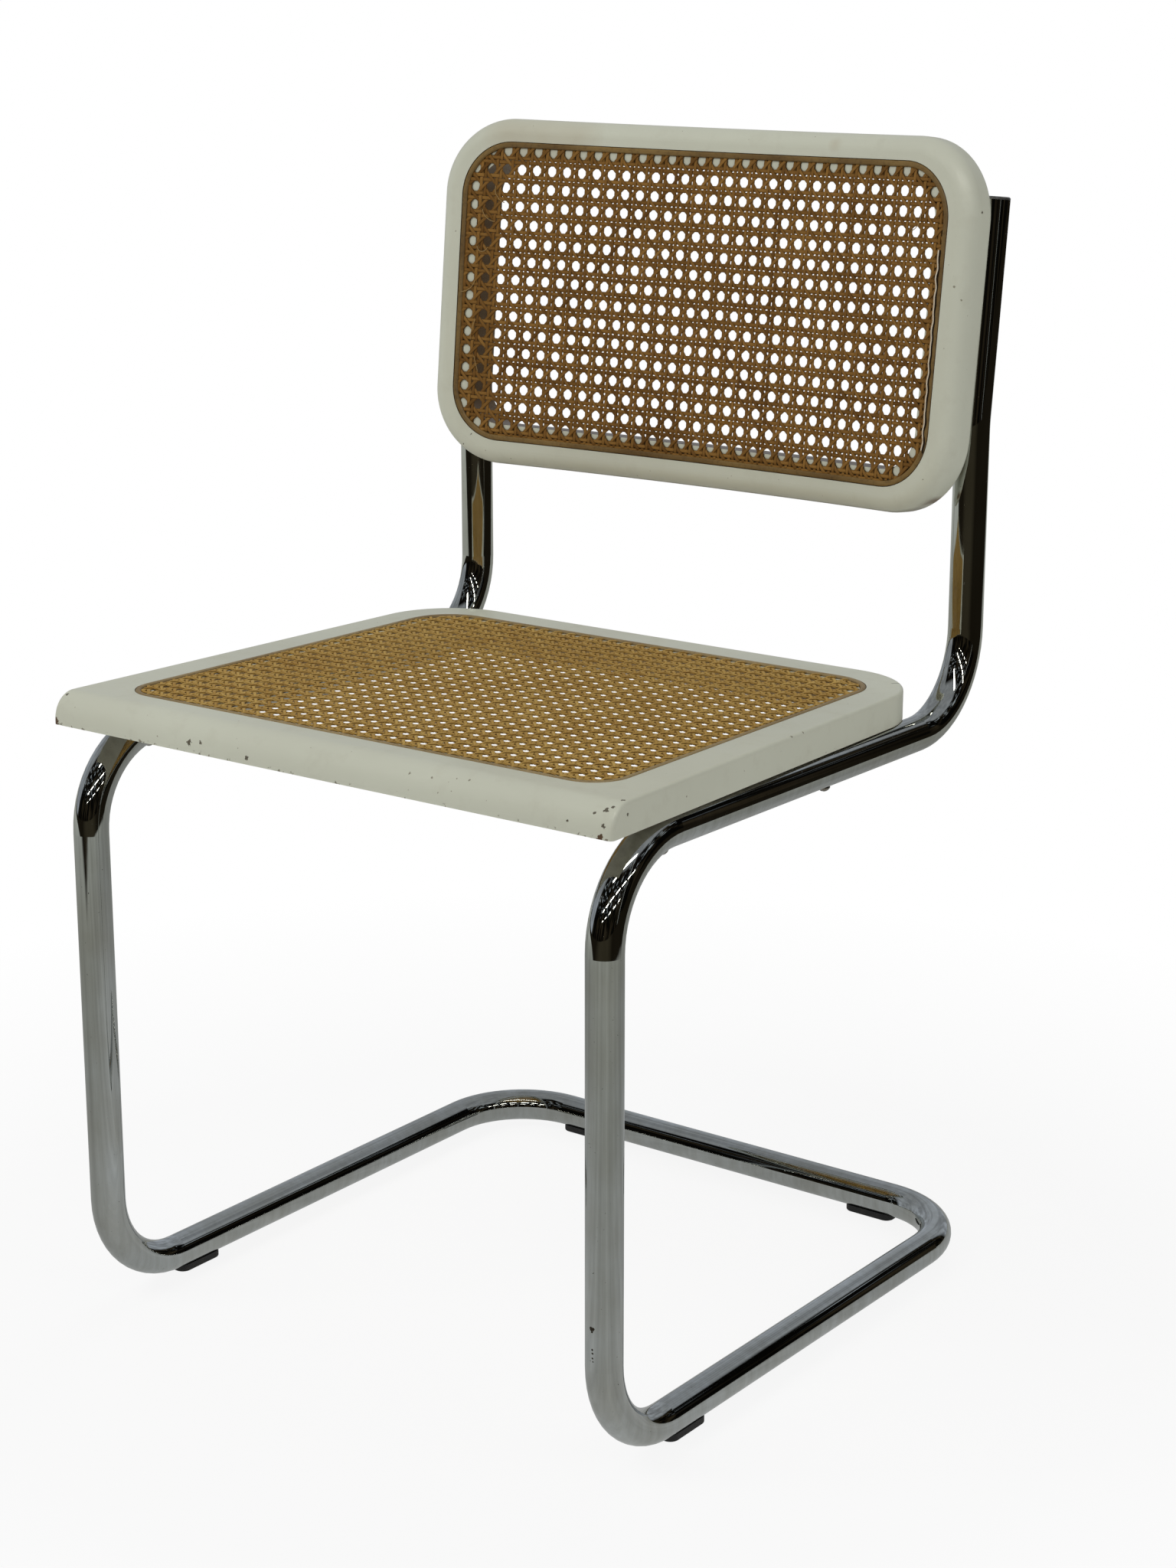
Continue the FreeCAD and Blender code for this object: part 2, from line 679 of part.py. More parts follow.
def make_seat_blank():
    """The seat frame before it is parted at its mitres: nose, cane groove, ledge, opening and holes."""
    plate = rounded_prism("seat_plate", "XY_Plane", SEAT_OUTLINE, SEAT_PLATE_RADII, "seat_thickness")
    nosed = common("seat_nosed", plate, make_seat_profile())
    top = number("seat_thickness")
    nose_end = number("nose_reach - seat_overhang")
    eased = number("seat_edge_radius")
    corner = number("seat_front_corner")

    def rim_radii(edge):
        """Eases the top rim, and widens the rounding down each end of the nose to the corner's radius.

        The rim is one chain that starts at the foot of the left corner and ends at that of the right one.
        """
        box = edge.BoundBox
        if box.YMax > nose_end + 0.01:
            return (eased, eased) if box.ZMin > top - 0.01 else None
        if box.XLength > corner:
            return None
        if box.ZMax < top - 0.01:
            return (corner, corner)
        return (corner, eased) if box.XMin > 0 else (eased, corner)

    rounded = round_by("seat_rounded", nosed, rim_radii)
    recess = seat_prism("seat_recess", "0", SEAT_LEDGE, "seat_thickness")
    groove = seat_ring("seat_groove", "0", "groove_width", SEAT_GROOVE_FLOOR, "seat_thickness")
    opening = seat_prism("seat_opening", LEDGE_INSET, "-seat_thickness", "3 * seat_thickness")
    dowel_holes = make_dowels("seat_dowel_hole", seat_dowel_places(), "dowel_diameter + 2 * dowel_gap",
                              "dowel_length + 2 * dowel_gap")
    screw_holes = make_pilots("seat_pilot", seat_screw_places(), Z_AXIS)
    tools = fuse("seat_cuts", [recess, groove, opening] + dowel_holes + screw_holes)
    return cut("seat_blank", rounded, tools)


def make_seat():
    blank = make_seat_blank()
    inner = seat_inner_outline(LEDGE_INSET)
    names = ("seat_front_rail", "seat_left_rail", "seat_rear_rail", "seat_right_rail")
    pieces = [member(name, blank, "XY_Plane", SEAT_OUTLINE, inner, index, "3 * seat_thickness",
                     "-seat_thickness")
              for index, name in enumerate(names)]
    pieces.append(make_seat_cane())
    spline = seat_ring("seat_spline_ring", "spline_gap", "groove_width - spline_gap", SEAT_GROOVE_FLOOR,
                       "groove_depth + cane_thickness + spline_proud")
    crown = number("seat_thickness + spline_proud")
    pieces.append(round_edges("seat_spline", spline, "spline_round",
                              lambda edge: edge.BoundBox.ZMin > crown - 0.01))
    pieces.append(group("seat_dowels", make_dowels("seat_dowel", seat_dowel_places(), "dowel_diameter",
                                                   "dowel_length")))
    pieces.append(make_screws("seat_screws", seat_screw_places(), Z_AXIS))
    for piece in pieces:
        place_on_seat(piece)
    return pieces


# Cane, as one holed face

def net_face(plate_face, edge_face, pitch, across_axis, along_axis):
    """Takes a grid of eight-sided gaps out of a face, wherever a whole gap fits inside another face."""
    box = edge_face.BoundBox
    step = number(pitch)
    gap = number("net_gap")
    corner = gap * (1 - math.sqrt(0.5))
    half = gap / 2
    middle = box.Center
    reach = int(max(box.XLength, box.YLength, box.ZLength) / step / 2) + 1
    ring = [(half, corner - half), (half, half - corner), (half - corner, half), (corner - half, half),
            (-half, half - corner), (-half, corner - half), (corner - half, -half), (half - corner, -half)]
    holes = []
    for row in range(-reach, reach + 1):
        for column in range(-reach, reach + 1):
            centre = middle + across_axis * (column * step) + along_axis * (row * step)
            points = [centre + across_axis * across + along_axis * along for across, along in ring]
            if all(edge_face.isInside(point, 0.001, True) for point in points):
                holes.append(Part.makePolygon(points + points[:1]))
    return Part.makeFace([plate_face.OuterWire] + holes, "Part::FaceMakerBullseye")


def face_on(shape, axis, level):
    """Finds the flat face that looks along an axis at a level."""
    for face in shape.Faces:
        flat = isinstance(face.Surface, Part.Plane) and abs(face.Surface.Axis.dot(axis)) > 0.999
        if flat and abs(face.CenterOfMass.dot(axis) - level) < 0.01:
            return face
    raise RuntimeError("no face at this level")


def make_seat_cane():
    """A flat net that lies on the ledge inside the spline."""
    plate = seat_prism("seat_cane_plate", "groove_width + cane_edge_gap", SEAT_LEDGE, "cane_thickness")
    clear = seat_prism("seat_cane_field", LEDGE_INSET + " + net_margin", SEAT_LEDGE, "cane_thickness")
    level = number(SEAT_LEDGE)
    net = net_face(face_on(plate.Shape, Z_AXIS, level), face_on(clear.Shape, Z_AXIS, level),
                   "seat_net_pitch", X_AXIS, Y_AXIS)
    cane = doc.addObject("Part::Feature", "seat_cane")
    cane.Shape = net.extrude(Z_AXIS * number("cane_thickness"))
    return cane


# Backrest. Its outlines are seen from the front, about its middle; it is bent about an upright axis.

BACK_OUTLINE = [("-back_bottom_width / 2", "-back_height / 2"),
                ("back_bottom_width / 2", "-back_height / 2"),
                ("back_top_width / 2", "back_height / 2"),
                ("-back_top_width / 2", "back_height / 2")]
BACK_TAPER = "((back_top_width - back_bottom_width) / 2 / back_height)"
BACK_DEPTH = "4 * back_thickness"


def back_inner_outline(inset):
    """Corners of the cane groove's outer edge, moved inward by an inset."""
    bottom = "(back_bottom_border + (%s) - back_height / 2)" % inset
    top = "(back_height / 2 - back_top_border - (%s))" % inset
    bottom_half = "(back_bottom_width / 2 + %s * back_bottom_border - back_side_border - (%s))" % (
        BACK_TAPER, inset)
    top_half = "(back_top_width / 2 - %s * back_top_border - back_side_border - (%s))" % (BACK_TAPER, inset)
    return [("-" + bottom_half, bottom), (bottom_half, bottom), (top_half, top), ("-" + top_half, top)]


def back_prism(name, inset):
    return rounded_prism(name, "XZ_Plane", back_inner_outline(inset),
                         ["back_cane_corner - (%s)" % inset] * 4, BACK_DEPTH)


def shell(name, inner_radius, outer_radius):
    """A wall between two radii about the backrest's bending axis."""
    walls = []
    for label, radius in (("inside", inner_radius), ("outside", outer_radius)):
        wall = doc.addObject("Part::Cylinder", "%s_%s" % (name, label))
        bind(wall, Radius=radius, Height="2 * back_height")
        wall.setExpression("Placement.Base.y", cells(BACK_AXIS))
        wall.setExpression("Placement.Base.z", cells("-back_height"))
        walls.append(wall)
    return cut(name, walls[1], walls[0])


def back_ring(name, outset, inset, inner_radius, outer_radius):
    """A ring that follows the cane groove, between two insets and two radii."""
    band = cut(name + "_band", back_prism(name + "_outside", outset), back_prism(name + "_inside", inset))
    return common(name, shell(name + "_shell", inner_radius, outer_radius), band)


def on_radius(radius):
    """A test for edges that lie at a radius about the bending axis."""
    size = number(radius)
    middle = number(BACK_AXIS)
    return lambda edge: all(abs(math.hypot(point.x, point.y - middle) - size) < 0.01
                            for point in edge.discretize(5))


def back_screw_places():
    """Where each back screw enters the stile, on the front of the tube."""
    front = number("-(tube_diameter / 2 + contact_gap)")
    return [FreeCAD.Vector(side * number("tube_spacing / 2"), front, number(offset))
            for side in SIDES.values() for offset in ("back_screw_offset", "-back_screw_offset")]


def back_dowel_places():
    """Middle and direction of the dowel in each backrest corner, on the bent middle surface."""
    inner = back_inner_outline(LEDGE_INSET)
    radius = number("back_radius + back_dowel_offset")
    places = []
    for outer_corner, inner_corner in zip(BACK_OUTLINE, inner):
        middle, direction = mitre_middle(outer_corner, inner_corner, "back_corner",
                                         "back_cane_corner - %s" % LEDGE_INSET)
        turn = math.asin(middle.x / radius)
        spot = FreeCAD.Vector(middle.x, number(BACK_AXIS) + radius * math.cos(turn), middle.y)
        bent = FreeCAD.Vector(direction.x * math.cos(turn), -direction.x * math.sin(turn), direction.y)
        places.append((spot, bent))
    return places


def make_back_blank():
    """The bent backrest frame before it is parted at its mitres."""
    outline = rounded_prism("back_outline", "XZ_Plane", BACK_OUTLINE, ["back_corner"] * 4, BACK_DEPTH)
    slab = common("back_slab", shell("back_wall", BACK_INNER, BACK_OUTER), outline)
    softened = round_edges("back_front_rounded", slab, "back_front_edge", on_radius(BACK_INNER))
    eased = round_edges("back_rounded", softened, "back_rear_edge", on_radius(BACK_OUTER))
    ledge = "(%s + cane_thickness)" % BACK_INNER
    floor = "(%s + groove_depth)" % ledge
    front = "(%s - back_thickness)" % BACK_INNER
    recess = common("back_recess", shell("back_recess_shell", front, ledge), back_prism("back_recess_area", "0"))
    groove = back_ring("back_groove", "0", "groove_width", front, floor)
    opening = back_prism("back_opening", LEDGE_INSET)
    dowel_holes = make_dowels("back_dowel_hole", back_dowel_places(), "dowel_diameter + 2 * dowel_gap",
                              "dowel_length + 2 * dowel_gap")
    screw_holes = make_pilots("back_pilot", back_screw_places(), Y_AXIS * -1)
    tools = fuse("back_cuts", [recess, groove, opening] + dowel_holes + screw_holes)
    return cut("back_blank", eased, tools)


def make_back_cane():
    """A net bent to the backrest's curve, which lies on the ledge inside the spline."""
    plate = back_prism("back_cane_plate", "groove_width + cane_edge_gap")
    clear = back_prism("back_cane_field", LEDGE_INSET + " + net_margin")
    level = number("-(%s) / 2" % BACK_DEPTH)
    net = net_face(face_on(plate.Shape, Y_AXIS, level), face_on(clear.Shape, Y_AXIS, level),
                   "back_net_pitch", X_AXIS, Z_AXIS)
    through = doc.addObject("Part::Feature", "back_net_prism")
    through.Shape = net.extrude(Y_AXIS * number(BACK_DEPTH))
    wall = shell("back_cane_wall", "%s - contact_gap" % BACK_INNER,
                 "%s + cane_thickness - contact_gap" % BACK_INNER)
    return common("back_cane", wall, through)


def make_back():
    blank = make_back_blank()
    inner = back_inner_outline(LEDGE_INSET)
    names = ("back_bottom_rail", "back_left_stile", "back_top_rail", "back_right_stile")
    pieces = [member(name, blank, "XZ_Plane", BACK_OUTLINE, inner, index, BACK_DEPTH)
              for index, name in enumerate(names)]
    pieces.append(make_back_cane())
    crown = "(%s - spline_proud)" % BACK_INNER
    spline = back_ring("back_spline_ring", "spline_gap", "groove_width - spline_gap", crown,
                       "(%s + cane_thickness + groove_depth - spline_gap)" % BACK_INNER)
    pieces.append(round_edges("back_spline", spline, "spline_round", on_radius(crown)))
    pieces.append(group("back_dowels", make_dowels("back_dowel", back_dowel_places(), "dowel_diameter",
                                                   "dowel_length")))
    pieces.append(make_screws("back_screws", back_screw_places(), Y_AXIS * -1))
    for piece in pieces:
        place_on_back(piece)
    return pieces


# Assembly

def make_chair():
    pieces = [make_tube_frame()]
    for label, side in SIDES.items():
        pieces.append(make_cap("upright_cap_" + label, side))
        pieces.append(make_glide("front_glide_" + label, "%d * tube_spacing / 2" % side,
                                 "front_glide_reach", 0))
        pieces.append(make_glide("rear_glide_" + label, "%d * rear_glide_offset" % side, "base_depth", 90))
    return pieces + make_seat() + make_back()


def check(pieces):
    """Stops at a failed object or a bad shape."""
    for item in doc.Objects:
        if {"Invalid", "Error"} & set(item.State):
            raise RuntimeError(item.Name + " failed")
    for piece in pieces:
        if piece.Shape.isNull() or not piece.Shape.isValid() or not piece.Shape.Solids:
            raise RuntimeError(piece.Label + " has no valid solid")


sub_parts = make_chair()
doc.recompute()
check(sub_parts)
os.makedirs("parts", exist_ok=True)
for piece in sub_parts:
    piece.Label = piece.Name
    piece.Shape.exportStep(os.path.join("parts", piece.Label + ".step"))
    print(piece.Label, len(piece.Shape.Solids), round(piece.Shape.Volume))
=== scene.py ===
import math
import random

import bmesh
import bpy
from mathutils import Matrix, Vector


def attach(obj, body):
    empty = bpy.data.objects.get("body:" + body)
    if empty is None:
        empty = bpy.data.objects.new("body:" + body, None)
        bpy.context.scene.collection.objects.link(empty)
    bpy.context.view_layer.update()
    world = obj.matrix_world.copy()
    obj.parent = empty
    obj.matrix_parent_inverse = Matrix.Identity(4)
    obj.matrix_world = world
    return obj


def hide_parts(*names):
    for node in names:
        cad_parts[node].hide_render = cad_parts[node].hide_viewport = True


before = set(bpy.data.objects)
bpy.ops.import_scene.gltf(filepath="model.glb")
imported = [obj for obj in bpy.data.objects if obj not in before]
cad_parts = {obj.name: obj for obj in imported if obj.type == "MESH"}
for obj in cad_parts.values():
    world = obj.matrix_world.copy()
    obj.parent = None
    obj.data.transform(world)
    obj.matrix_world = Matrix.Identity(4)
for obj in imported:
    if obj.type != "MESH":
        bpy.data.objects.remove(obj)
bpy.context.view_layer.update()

# Sizes that place the two panels, in metres, as in the solids
MM = 0.001
LEG_Y = -233.5 * MM
TUBE_RADIUS = 12.5 * MM
RAIL_FRONT = 426.2 * MM
RAIL_REAR = 422.9 * MM
UPRIGHT_REACH = 436.6 * MM
CONTACT_GAP = 0.2 * MM
RAIL_TILT = math.atan((RAIL_REAR - RAIL_FRONT) / UPRIGHT_REACH)
UPRIGHT_LEAN = math.radians(6.4)
KINK_HEIGHT = 635.0 * MM
BACK_CENTRE = 699.4 * MM
SEAT_THICKNESS = 22.0 * MM
BACK_RADIUS = 1150.0 * MM
BACK_THICKNESS = 30.5 * MM
HALF_SPACING = 224.0 * MM

# Sizes of the two panels and their openings, in millimetres, as in the solids
SEAT_OVERHANG = 15.5
SEAT_DEPTH = 406.0
SEAT_FRONT_WIDTH = 481.0
SEAT_REAR_WIDTH = 451.0
SEAT_FRONT_BORDER = 33.0
SEAT_REAR_BORDER = 26.0
SEAT_SIDE_FRONT = 29.5
SEAT_SIDE_REAR = 24.5
SEAT_CORNERS = (27.0, 27.0, 38.0, 38.0)
BACK_HEIGHT = 262.5
BACK_TOP_WIDTH = 471.0
BACK_BOTTOM_WIDTH = 466.0
BACK_TOP_BORDER = 17.5
BACK_BOTTOM_BORDER = 18.0
BACK_SIDE_BORDER = 20.5
BACK_CORNER = 41.0

UP = (0.0, 0.0, 1.0)
DOWN = (0.0, 0.0, -1.0)
REARWARD = (0.0, 1.0, 0.0)
CHAIR_FOOT = (0.0, 0.0, 0.0)


# Panel frames

def tilt_matrix(height, reach, tilt):
    return Matrix.Translation((0, LEG_Y + reach, height)) @ Matrix.Rotation(tilt, 4, "X")


SEAT_FRAME = tilt_matrix(RAIL_FRONT + (TUBE_RADIUS + CONTACT_GAP) / math.cos(RAIL_TILT), 0, RAIL_TILT)
BACK_FRAME = tilt_matrix(BACK_CENTRE, UPRIGHT_REACH + (BACK_CENTRE - KINK_HEIGHT) * math.tan(UPRIGHT_LEAN),
                         -UPRIGHT_LEAN)
BACK_INNER = BACK_RADIUS - BACK_THICKNESS / 2
BACK_REACH = BACK_RADIUS + BACK_THICKNESS / 2 + TUBE_RADIUS + CONTACT_GAP
BACK_AXIS = -math.sqrt(BACK_REACH ** 2 - HALF_SPACING ** 2)


def seat_point(u, v, lift):
    """A point of the seat's plane: u to the left, v to the rear, lift above the seat's top."""
    return SEAT_FRAME @ Vector((u, v, SEAT_THICKNESS + lift))


def back_point(u, v, lift):
    """A point of the backrest's bent front: u to the sitter's left, v up, lift towards the sitter."""
    radius = BACK_INNER - lift
    angle = math.asin(u / BACK_INNER)
    return BACK_FRAME @ Vector((radius * math.sin(angle), BACK_AXIS + radius * math.cos(angle), v))


# Outlines of the cane fields

CORNER_STEPS = 10
SHORTEST_EDGE = 1e-7
PARALLEL_RATE = 1e-12
SHORTEST_STRAND = 4.0 * MM


def rounded_outline(corners, radii):
    """Points of a polygon with rounded corners, counter-clockwise."""
    points = []
    count = len(corners)
    for index in range(count):
        before = Vector(corners[index - 1])
        corner = Vector(corners[index])
        after = Vector(corners[(index + 1) % count])
        into = (corner - before).normalized()
        out = (after - corner).normalized()
        turn = math.acos(max(-1.0, min(1.0, into.dot(out))))
        radius = radii[index]
        first = corner - into * radius * math.tan(turn / 2)
        centre = first + Vector((-into.y, into.x)) * radius
        spoke = first - centre
        for step in range(CORNER_STEPS + 1):
            angle = turn * step / CORNER_STEPS
            points.append(centre + Vector((spoke.x * math.cos(angle) - spoke.y * math.sin(angle),
                                           spoke.x * math.sin(angle) + spoke.y * math.cos(angle))))
    return points


def seat_outline(inset):
    """The cane groove's outer edge on the seat, moved inward."""
    taper = (SEAT_FRONT_WIDTH - SEAT_REAR_WIDTH) / 2 / SEAT_DEPTH
    depth = SEAT_DEPTH - SEAT_FRONT_BORDER - SEAT_REAR_BORDER
    cane_taper = taper + (SEAT_SIDE_REAR - SEAT_SIDE_FRONT) / depth
    half = SEAT_FRONT_WIDTH / 2 - taper * SEAT_FRONT_BORDER - SEAT_SIDE_FRONT
    front = SEAT_FRONT_BORDER + inset - SEAT_OVERHANG
    rear = SEAT_DEPTH - SEAT_REAR_BORDER - inset - SEAT_OVERHANG
    front_half = half - inset * (1 + cane_taper)
    rear_half = half - cane_taper * (depth - inset) - inset
    corners = [(-front_half, front), (front_half, front), (rear_half, rear), (-rear_half, rear)]
    return [point * MM for point in rounded_outline(corners, [corner - inset for corner in SEAT_CORNERS])]


def back_outline(inset):
    """The cane groove's outer edge on the backrest, moved inward."""
    taper = (BACK_TOP_WIDTH - BACK_BOTTOM_WIDTH) / 2 / BACK_HEIGHT
    bottom = BACK_BOTTOM_BORDER + inset - BACK_HEIGHT / 2
    top = BACK_HEIGHT / 2 - BACK_TOP_BORDER - inset
    bottom_half = BACK_BOTTOM_WIDTH / 2 + taper * BACK_BOTTOM_BORDER - BACK_SIDE_BORDER - inset
    top_half = BACK_TOP_WIDTH / 2 - taper * BACK_TOP_BORDER - BACK_SIDE_BORDER - inset
    corners = [(-bottom_half, bottom), (bottom_half, bottom), (top_half, top), (-top_half, top)]
    return [point * MM for point in rounded_outline(corners, [BACK_CORNER - inset] * 4)]


def clip(origin, direction, outline):
    """The stretch of a line inside a convex outline, as distances along it."""
    low, high = -math.inf, math.inf
    count = len(outline)
    for index in range(count):
        edge = outline[(index + 1) % count] - outline[index]
        if edge.length < SHORTEST_EDGE:
            continue
        inward = Vector((-edge.y, edge.x))
        distance = (origin - outline[index]).dot(inward)
        rate = direction.dot(inward)
        if abs(rate) < PARALLEL_RATE:
            if distance < 0:
                return None
            continue
        crossing = -distance / rate
        if rate > 0:
            low = max(low, crossing)
        else:
            high = min(high, crossing)
    return (low, high) if high - low > SHORTEST_STRAND else None


# Mesh building

def new_object(name, vertices, faces, smooth=True):
    mesh = bpy.data.meshes.new(name)
    mesh.from_pydata(vertices, [], faces)
    mesh.update()
    if smooth:
        mesh.polygons.foreach_set("use_smooth", [True] * len(mesh.polygons))
    item = bpy.data.objects.new(name, mesh)
    bpy.context.scene.collection.objects.link(item)
    return item


def quads(name, corners):
    """Separate four-cornered faces in one object."""
    vertices = [corner for face in corners for corner in face]
    faces = [tuple(range(index, index + 4)) for index in range(0, len(vertices), 4)]
    return new_object(name, vertices, faces, smooth=False)


def flat_square(name, half, height):
    return quads(name, [[(-half, -half, height), (half, -half, height), (half, half, height),
                         (-half, half, height)]])


# The section of a cane strand, in shares of its width and thickness
SECTION = ((-0.5, 0.0), (-0.34, 0.42), (0.0, 0.5), (0.34, 0.42), (0.5, 0.0), (0.0, -0.5))
# A strand's material reads its tone, the place across it and the length along it from a random start
GRAIN_STARTS = (0, 40)
# The tone of a woven strand is near 0.5. These mark a loose fibre, the cane's cut edge and the dark ribbon
# of painted shade in the gap beside it.
FIBRE_TONE = 2.0
EDGE_TONE = 3.0
GAP_SHADE_TONE = 4.0


class Weave:
    """Collects cane strands, which are flat ribbons with a crowned face, into one mesh."""

    def __init__(self, place):
        self.place = place
        self.vertices = []
        self.faces = []
        self.values = {"tone": [], "across": [], "along": []}

    def strand(self, points, width, thickness, tone):
        """Adds a ribbon through (u, v, lift) points."""
        count = len(points)
        start = len(self.vertices)
        length = random.uniform(*GRAIN_STARTS)
        for index, (u, v, lift) in enumerate(points):
            before = points[max(index - 1, 0)]
            after = points[min(index + 1, count - 1)]
            run = Vector((after[0] - before[0], after[1] - before[1])).normalized()
            side = Vector((-run.y, run.x)) * width
            if index:
                length += math.hypot(u - before[0], v - before[1])
            for across, rise in SECTION:
                self.vertices.append(self.place(u + side.x * across, v + side.y * across,
                                                lift + rise * thickness))
                self.values["tone"].append(tone)
                self.values["across"].append(across)
                self.values["along"].append(length)
        ring = len(SECTION)
        for index in range(count - 1):
            near = start + index * ring
            far = near + ring
            for spot in range(ring):
                after = (spot + 1) % ring
                self.faces.append((near + spot, near + after, far + after, far + spot))
        self.faces.append(tuple(start + spot for spot in reversed(range(ring))))
        self.faces.append(tuple(start + (count - 1) * ring + spot for spot in range(ring)))

    def finish(self, name):
        item = new_object(name, self.vertices, self.faces)
        for key, values in self.values.items():
            item.data.attributes.new(key, "FLOAT", "POINT").data.foreach_set("value", values)
        return item


# A strand drifts sideways by three waves, with rates in turns per length, phases and shares in these ranges
WAVE_COUNT = 3
WAVE_RATES = (0.5, 1.6)
WAVE_PHASES = (0, 6.28)
WAVE_SHARES = (0.3, 1.0)


def wander(amount, length):
    """A slow drift along a strand, as a function of the distance."""
    waves = [(random.uniform(*WAVE_RATES) / length, random.uniform(*WAVE_PHASES),
              random.uniform(*WAVE_SHARES)) for _ in range(WAVE_COUNT)]
    total = sum(share for _, _, share in waves)
    return lambda distance: amount * sum(
        share * math.sin(math.tau * rate * distance + phase) for rate, phase, share in waves) / total


# Where a strand has points within one step of the lattice, in shares of the step, and how close they may be
PAIR_STOPS = (-0.42, -0.27, -0.17, -0.08, 0.0, 0.08, 0.17, 0.27, 0.42, 0.5)
DIAGONAL_STOPS = (0.0, 0.13, 0.25, 0.37, 0.5, 0.63, 0.75, 0.87)
CLOSEST_STOPS = 0.6 * MM
# How many steps the lattice has on each side of its centre, which is more than a panel needs
LATTICE_REACH = 40
# How far a strand drifts sideways, and how its ends sink into the groove
SIDE_DRIFT = 0.22 * MM
TUCK_LENGTH = 3.0 * MM
TUCK_DEPTH = 0.8 * MM
# How far strands rise and dip, in shares of the thickness, and how steeply the diagonals change over
PAIR_SWING = 0.62
DIAGONAL_SWING = 0.8
DIAGONAL_STEEPNESS = 2.2
# A diagonal's width in shares of a pair's strand, and how widths and tones vary
DIAGONAL_WIDTH = 0.92
WIDTH_SPREAD = (0.93, 1.06)
TONE_MIDDLE = 0.5
TONE_SPREAD = 0.2


def weave_panel(weave, outline, centre, pitch, lift, width, gap, thickness):
    """A six-way cane weave: pairs both ways and one strand along each diagonal of the lattice of gaps.
    The centre and pitch of the lattice, the height over the panel's face, a strand's width, the gap within a
    pair and the thickness are in millimetres."""
    centre = [value * MM for value in centre]
    pitch = [value * MM for value in pitch]
    lift, width, gap, thickness = (value * MM for value in (lift, width, gap, thickness))
    offset = (width + gap) / 2
    low = (min(p.x for p in outline), min(p.y for p in outline))
    high = (max(p.x for p in outline), max(p.y for p in outline))
    span = max(high[0] - low[0], high[1] - low[1])

    def dip(distance):
        """The height of a pair's strand as it crosses the two strands of another pair."""
        share = distance / offset
        return PAIR_SWING * thickness * share * math.exp(0.5 - 0.5 * share * share)

    def run(origin, direction, shape, shares, step, wide, tone):
        """Adds the strand along a line, with the height that shape gives at a distance along it."""
        stretch = clip(origin, direction, outline)
        if not stretch:
            return
        first, last = stretch
        side = Vector((-direction.y, direction.x))
        drift = wander(SIDE_DRIFT, span)
        stops = [first, last]
        cell = math.floor(first / step) - 1
        while cell * step < last:
            stops += [(cell + share) * step for share in shares]
            cell += 1
        stops = sorted(stop for stop in stops if first <= stop <= last)
        kept = [stops[0]]
        for stop in stops[1:]:
            if stop - kept[-1] > CLOSEST_STOPS:
                kept.append(stop)
        points = []
        for stop in kept:
            spot = origin + direction * stop + side * drift(stop)
            sink = max(0.0, 1 - min(stop - first, last - stop) / TUCK_LENGTH)
            points.append((spot.x, spot.y, lift + shape(stop) - TUCK_DEPTH * sink * sink))
        weave.strand(points, wide * random.uniform(*WIDTH_SPREAD), thickness, tone)

    def tone():
        return random.gauss(TONE_MIDDLE, TONE_SPREAD)

    # Pairs of strands at half steps between the gaps. Those that run up or to the rear come first, and the
    # others dip where these rise.
    for along, sense in ((1, 1), (0, -1)):
        across = 1 - along
        step = pitch[along]
        direction = Vector((across, along))
        for row in range(-LATTICE_REACH, LATTICE_REACH):
            for side in (-1, 1):
                place = centre[across] + (row + 0.5) * pitch[across] + side * offset
                if not low[across] < place < high[across]:
                    continue
                origin = Vector((0.0, 0.0))
                origin[across] = place
                origin[along] = centre[along] + 0.5 * step

                def swing(distance, step=step, way=sense * side):
                    return way * dip((distance + step / 2) % step - step / 2)

                run(origin, direction, swing, PAIR_STOPS, step, width, tone())

    # Diagonals: one family passes over the upright pairs and under the others, its mirror does the reverse
    diagonal = math.hypot(*pitch)
    for sense in (-1, 1):
        direction = Vector((pitch[0], sense * pitch[1])) / diagonal
        for index in range(-2 * LATTICE_REACH, 2 * LATTICE_REACH):
            origin = Vector((centre[0] + (index + 0.5) * pitch[0], centre[1]))

            def wave(distance, sense=sense):
                turn = math.cos(math.tau * distance / diagonal)
                return (sense * thickness * DIAGONAL_SWING * math.tanh(DIAGONAL_STEEPNESS * turn)
                        / math.tanh(DIAGONAL_STEEPNESS))

            run(origin, direction, wave, DIAGONAL_STOPS, diagonal, width * DIAGONAL_WIDTH, tone())


# Loose fibres, in millimetres and radians
FIBRE_STEPS = 12
FIBRE_WIDTH = 0.6
FIBRE_THICKNESS = 0.3
FIBRE_BEND = 0.25
FIBRE_SHAKE = 0.12
FIBRE_RISE = (0.6, 1.2)
FIBRE_HEADINGS = (-2.0, -1.1)
FIBRE_LENGTHS = (12, 20)
FIBRE_LIFT = 0.4
FIBRE_STARTS = ((-196, 62), (-199, 34), (-199, 8), (-197, -22), (-196, -50), (-186, 80), (190, 78))


def loose_fibre(weave, start, heading, length):
    """A thin fibre that has come off a strand and curls over the weave."""
    u, v = start
    bend = random.uniform(-FIBRE_BEND, FIBRE_BEND)
    points = []
    for step in range(FIBRE_STEPS + 1):
        rise = math.sin(math.pi * step / FIBRE_STEPS) * random.uniform(*FIBRE_RISE)
        points.append((u * MM, v * MM, (FIBRE_LIFT + rise) * MM))
        u += math.cos(heading) * length / FIBRE_STEPS
        v += math.sin(heading) * length / FIBRE_STEPS
        heading += bend + random.uniform(-FIBRE_SHAKE, FIBRE_SHAKE)
    weave.strand(points, FIBRE_WIDTH * MM, FIBRE_THICKNESS * MM, FIBRE_TONE)


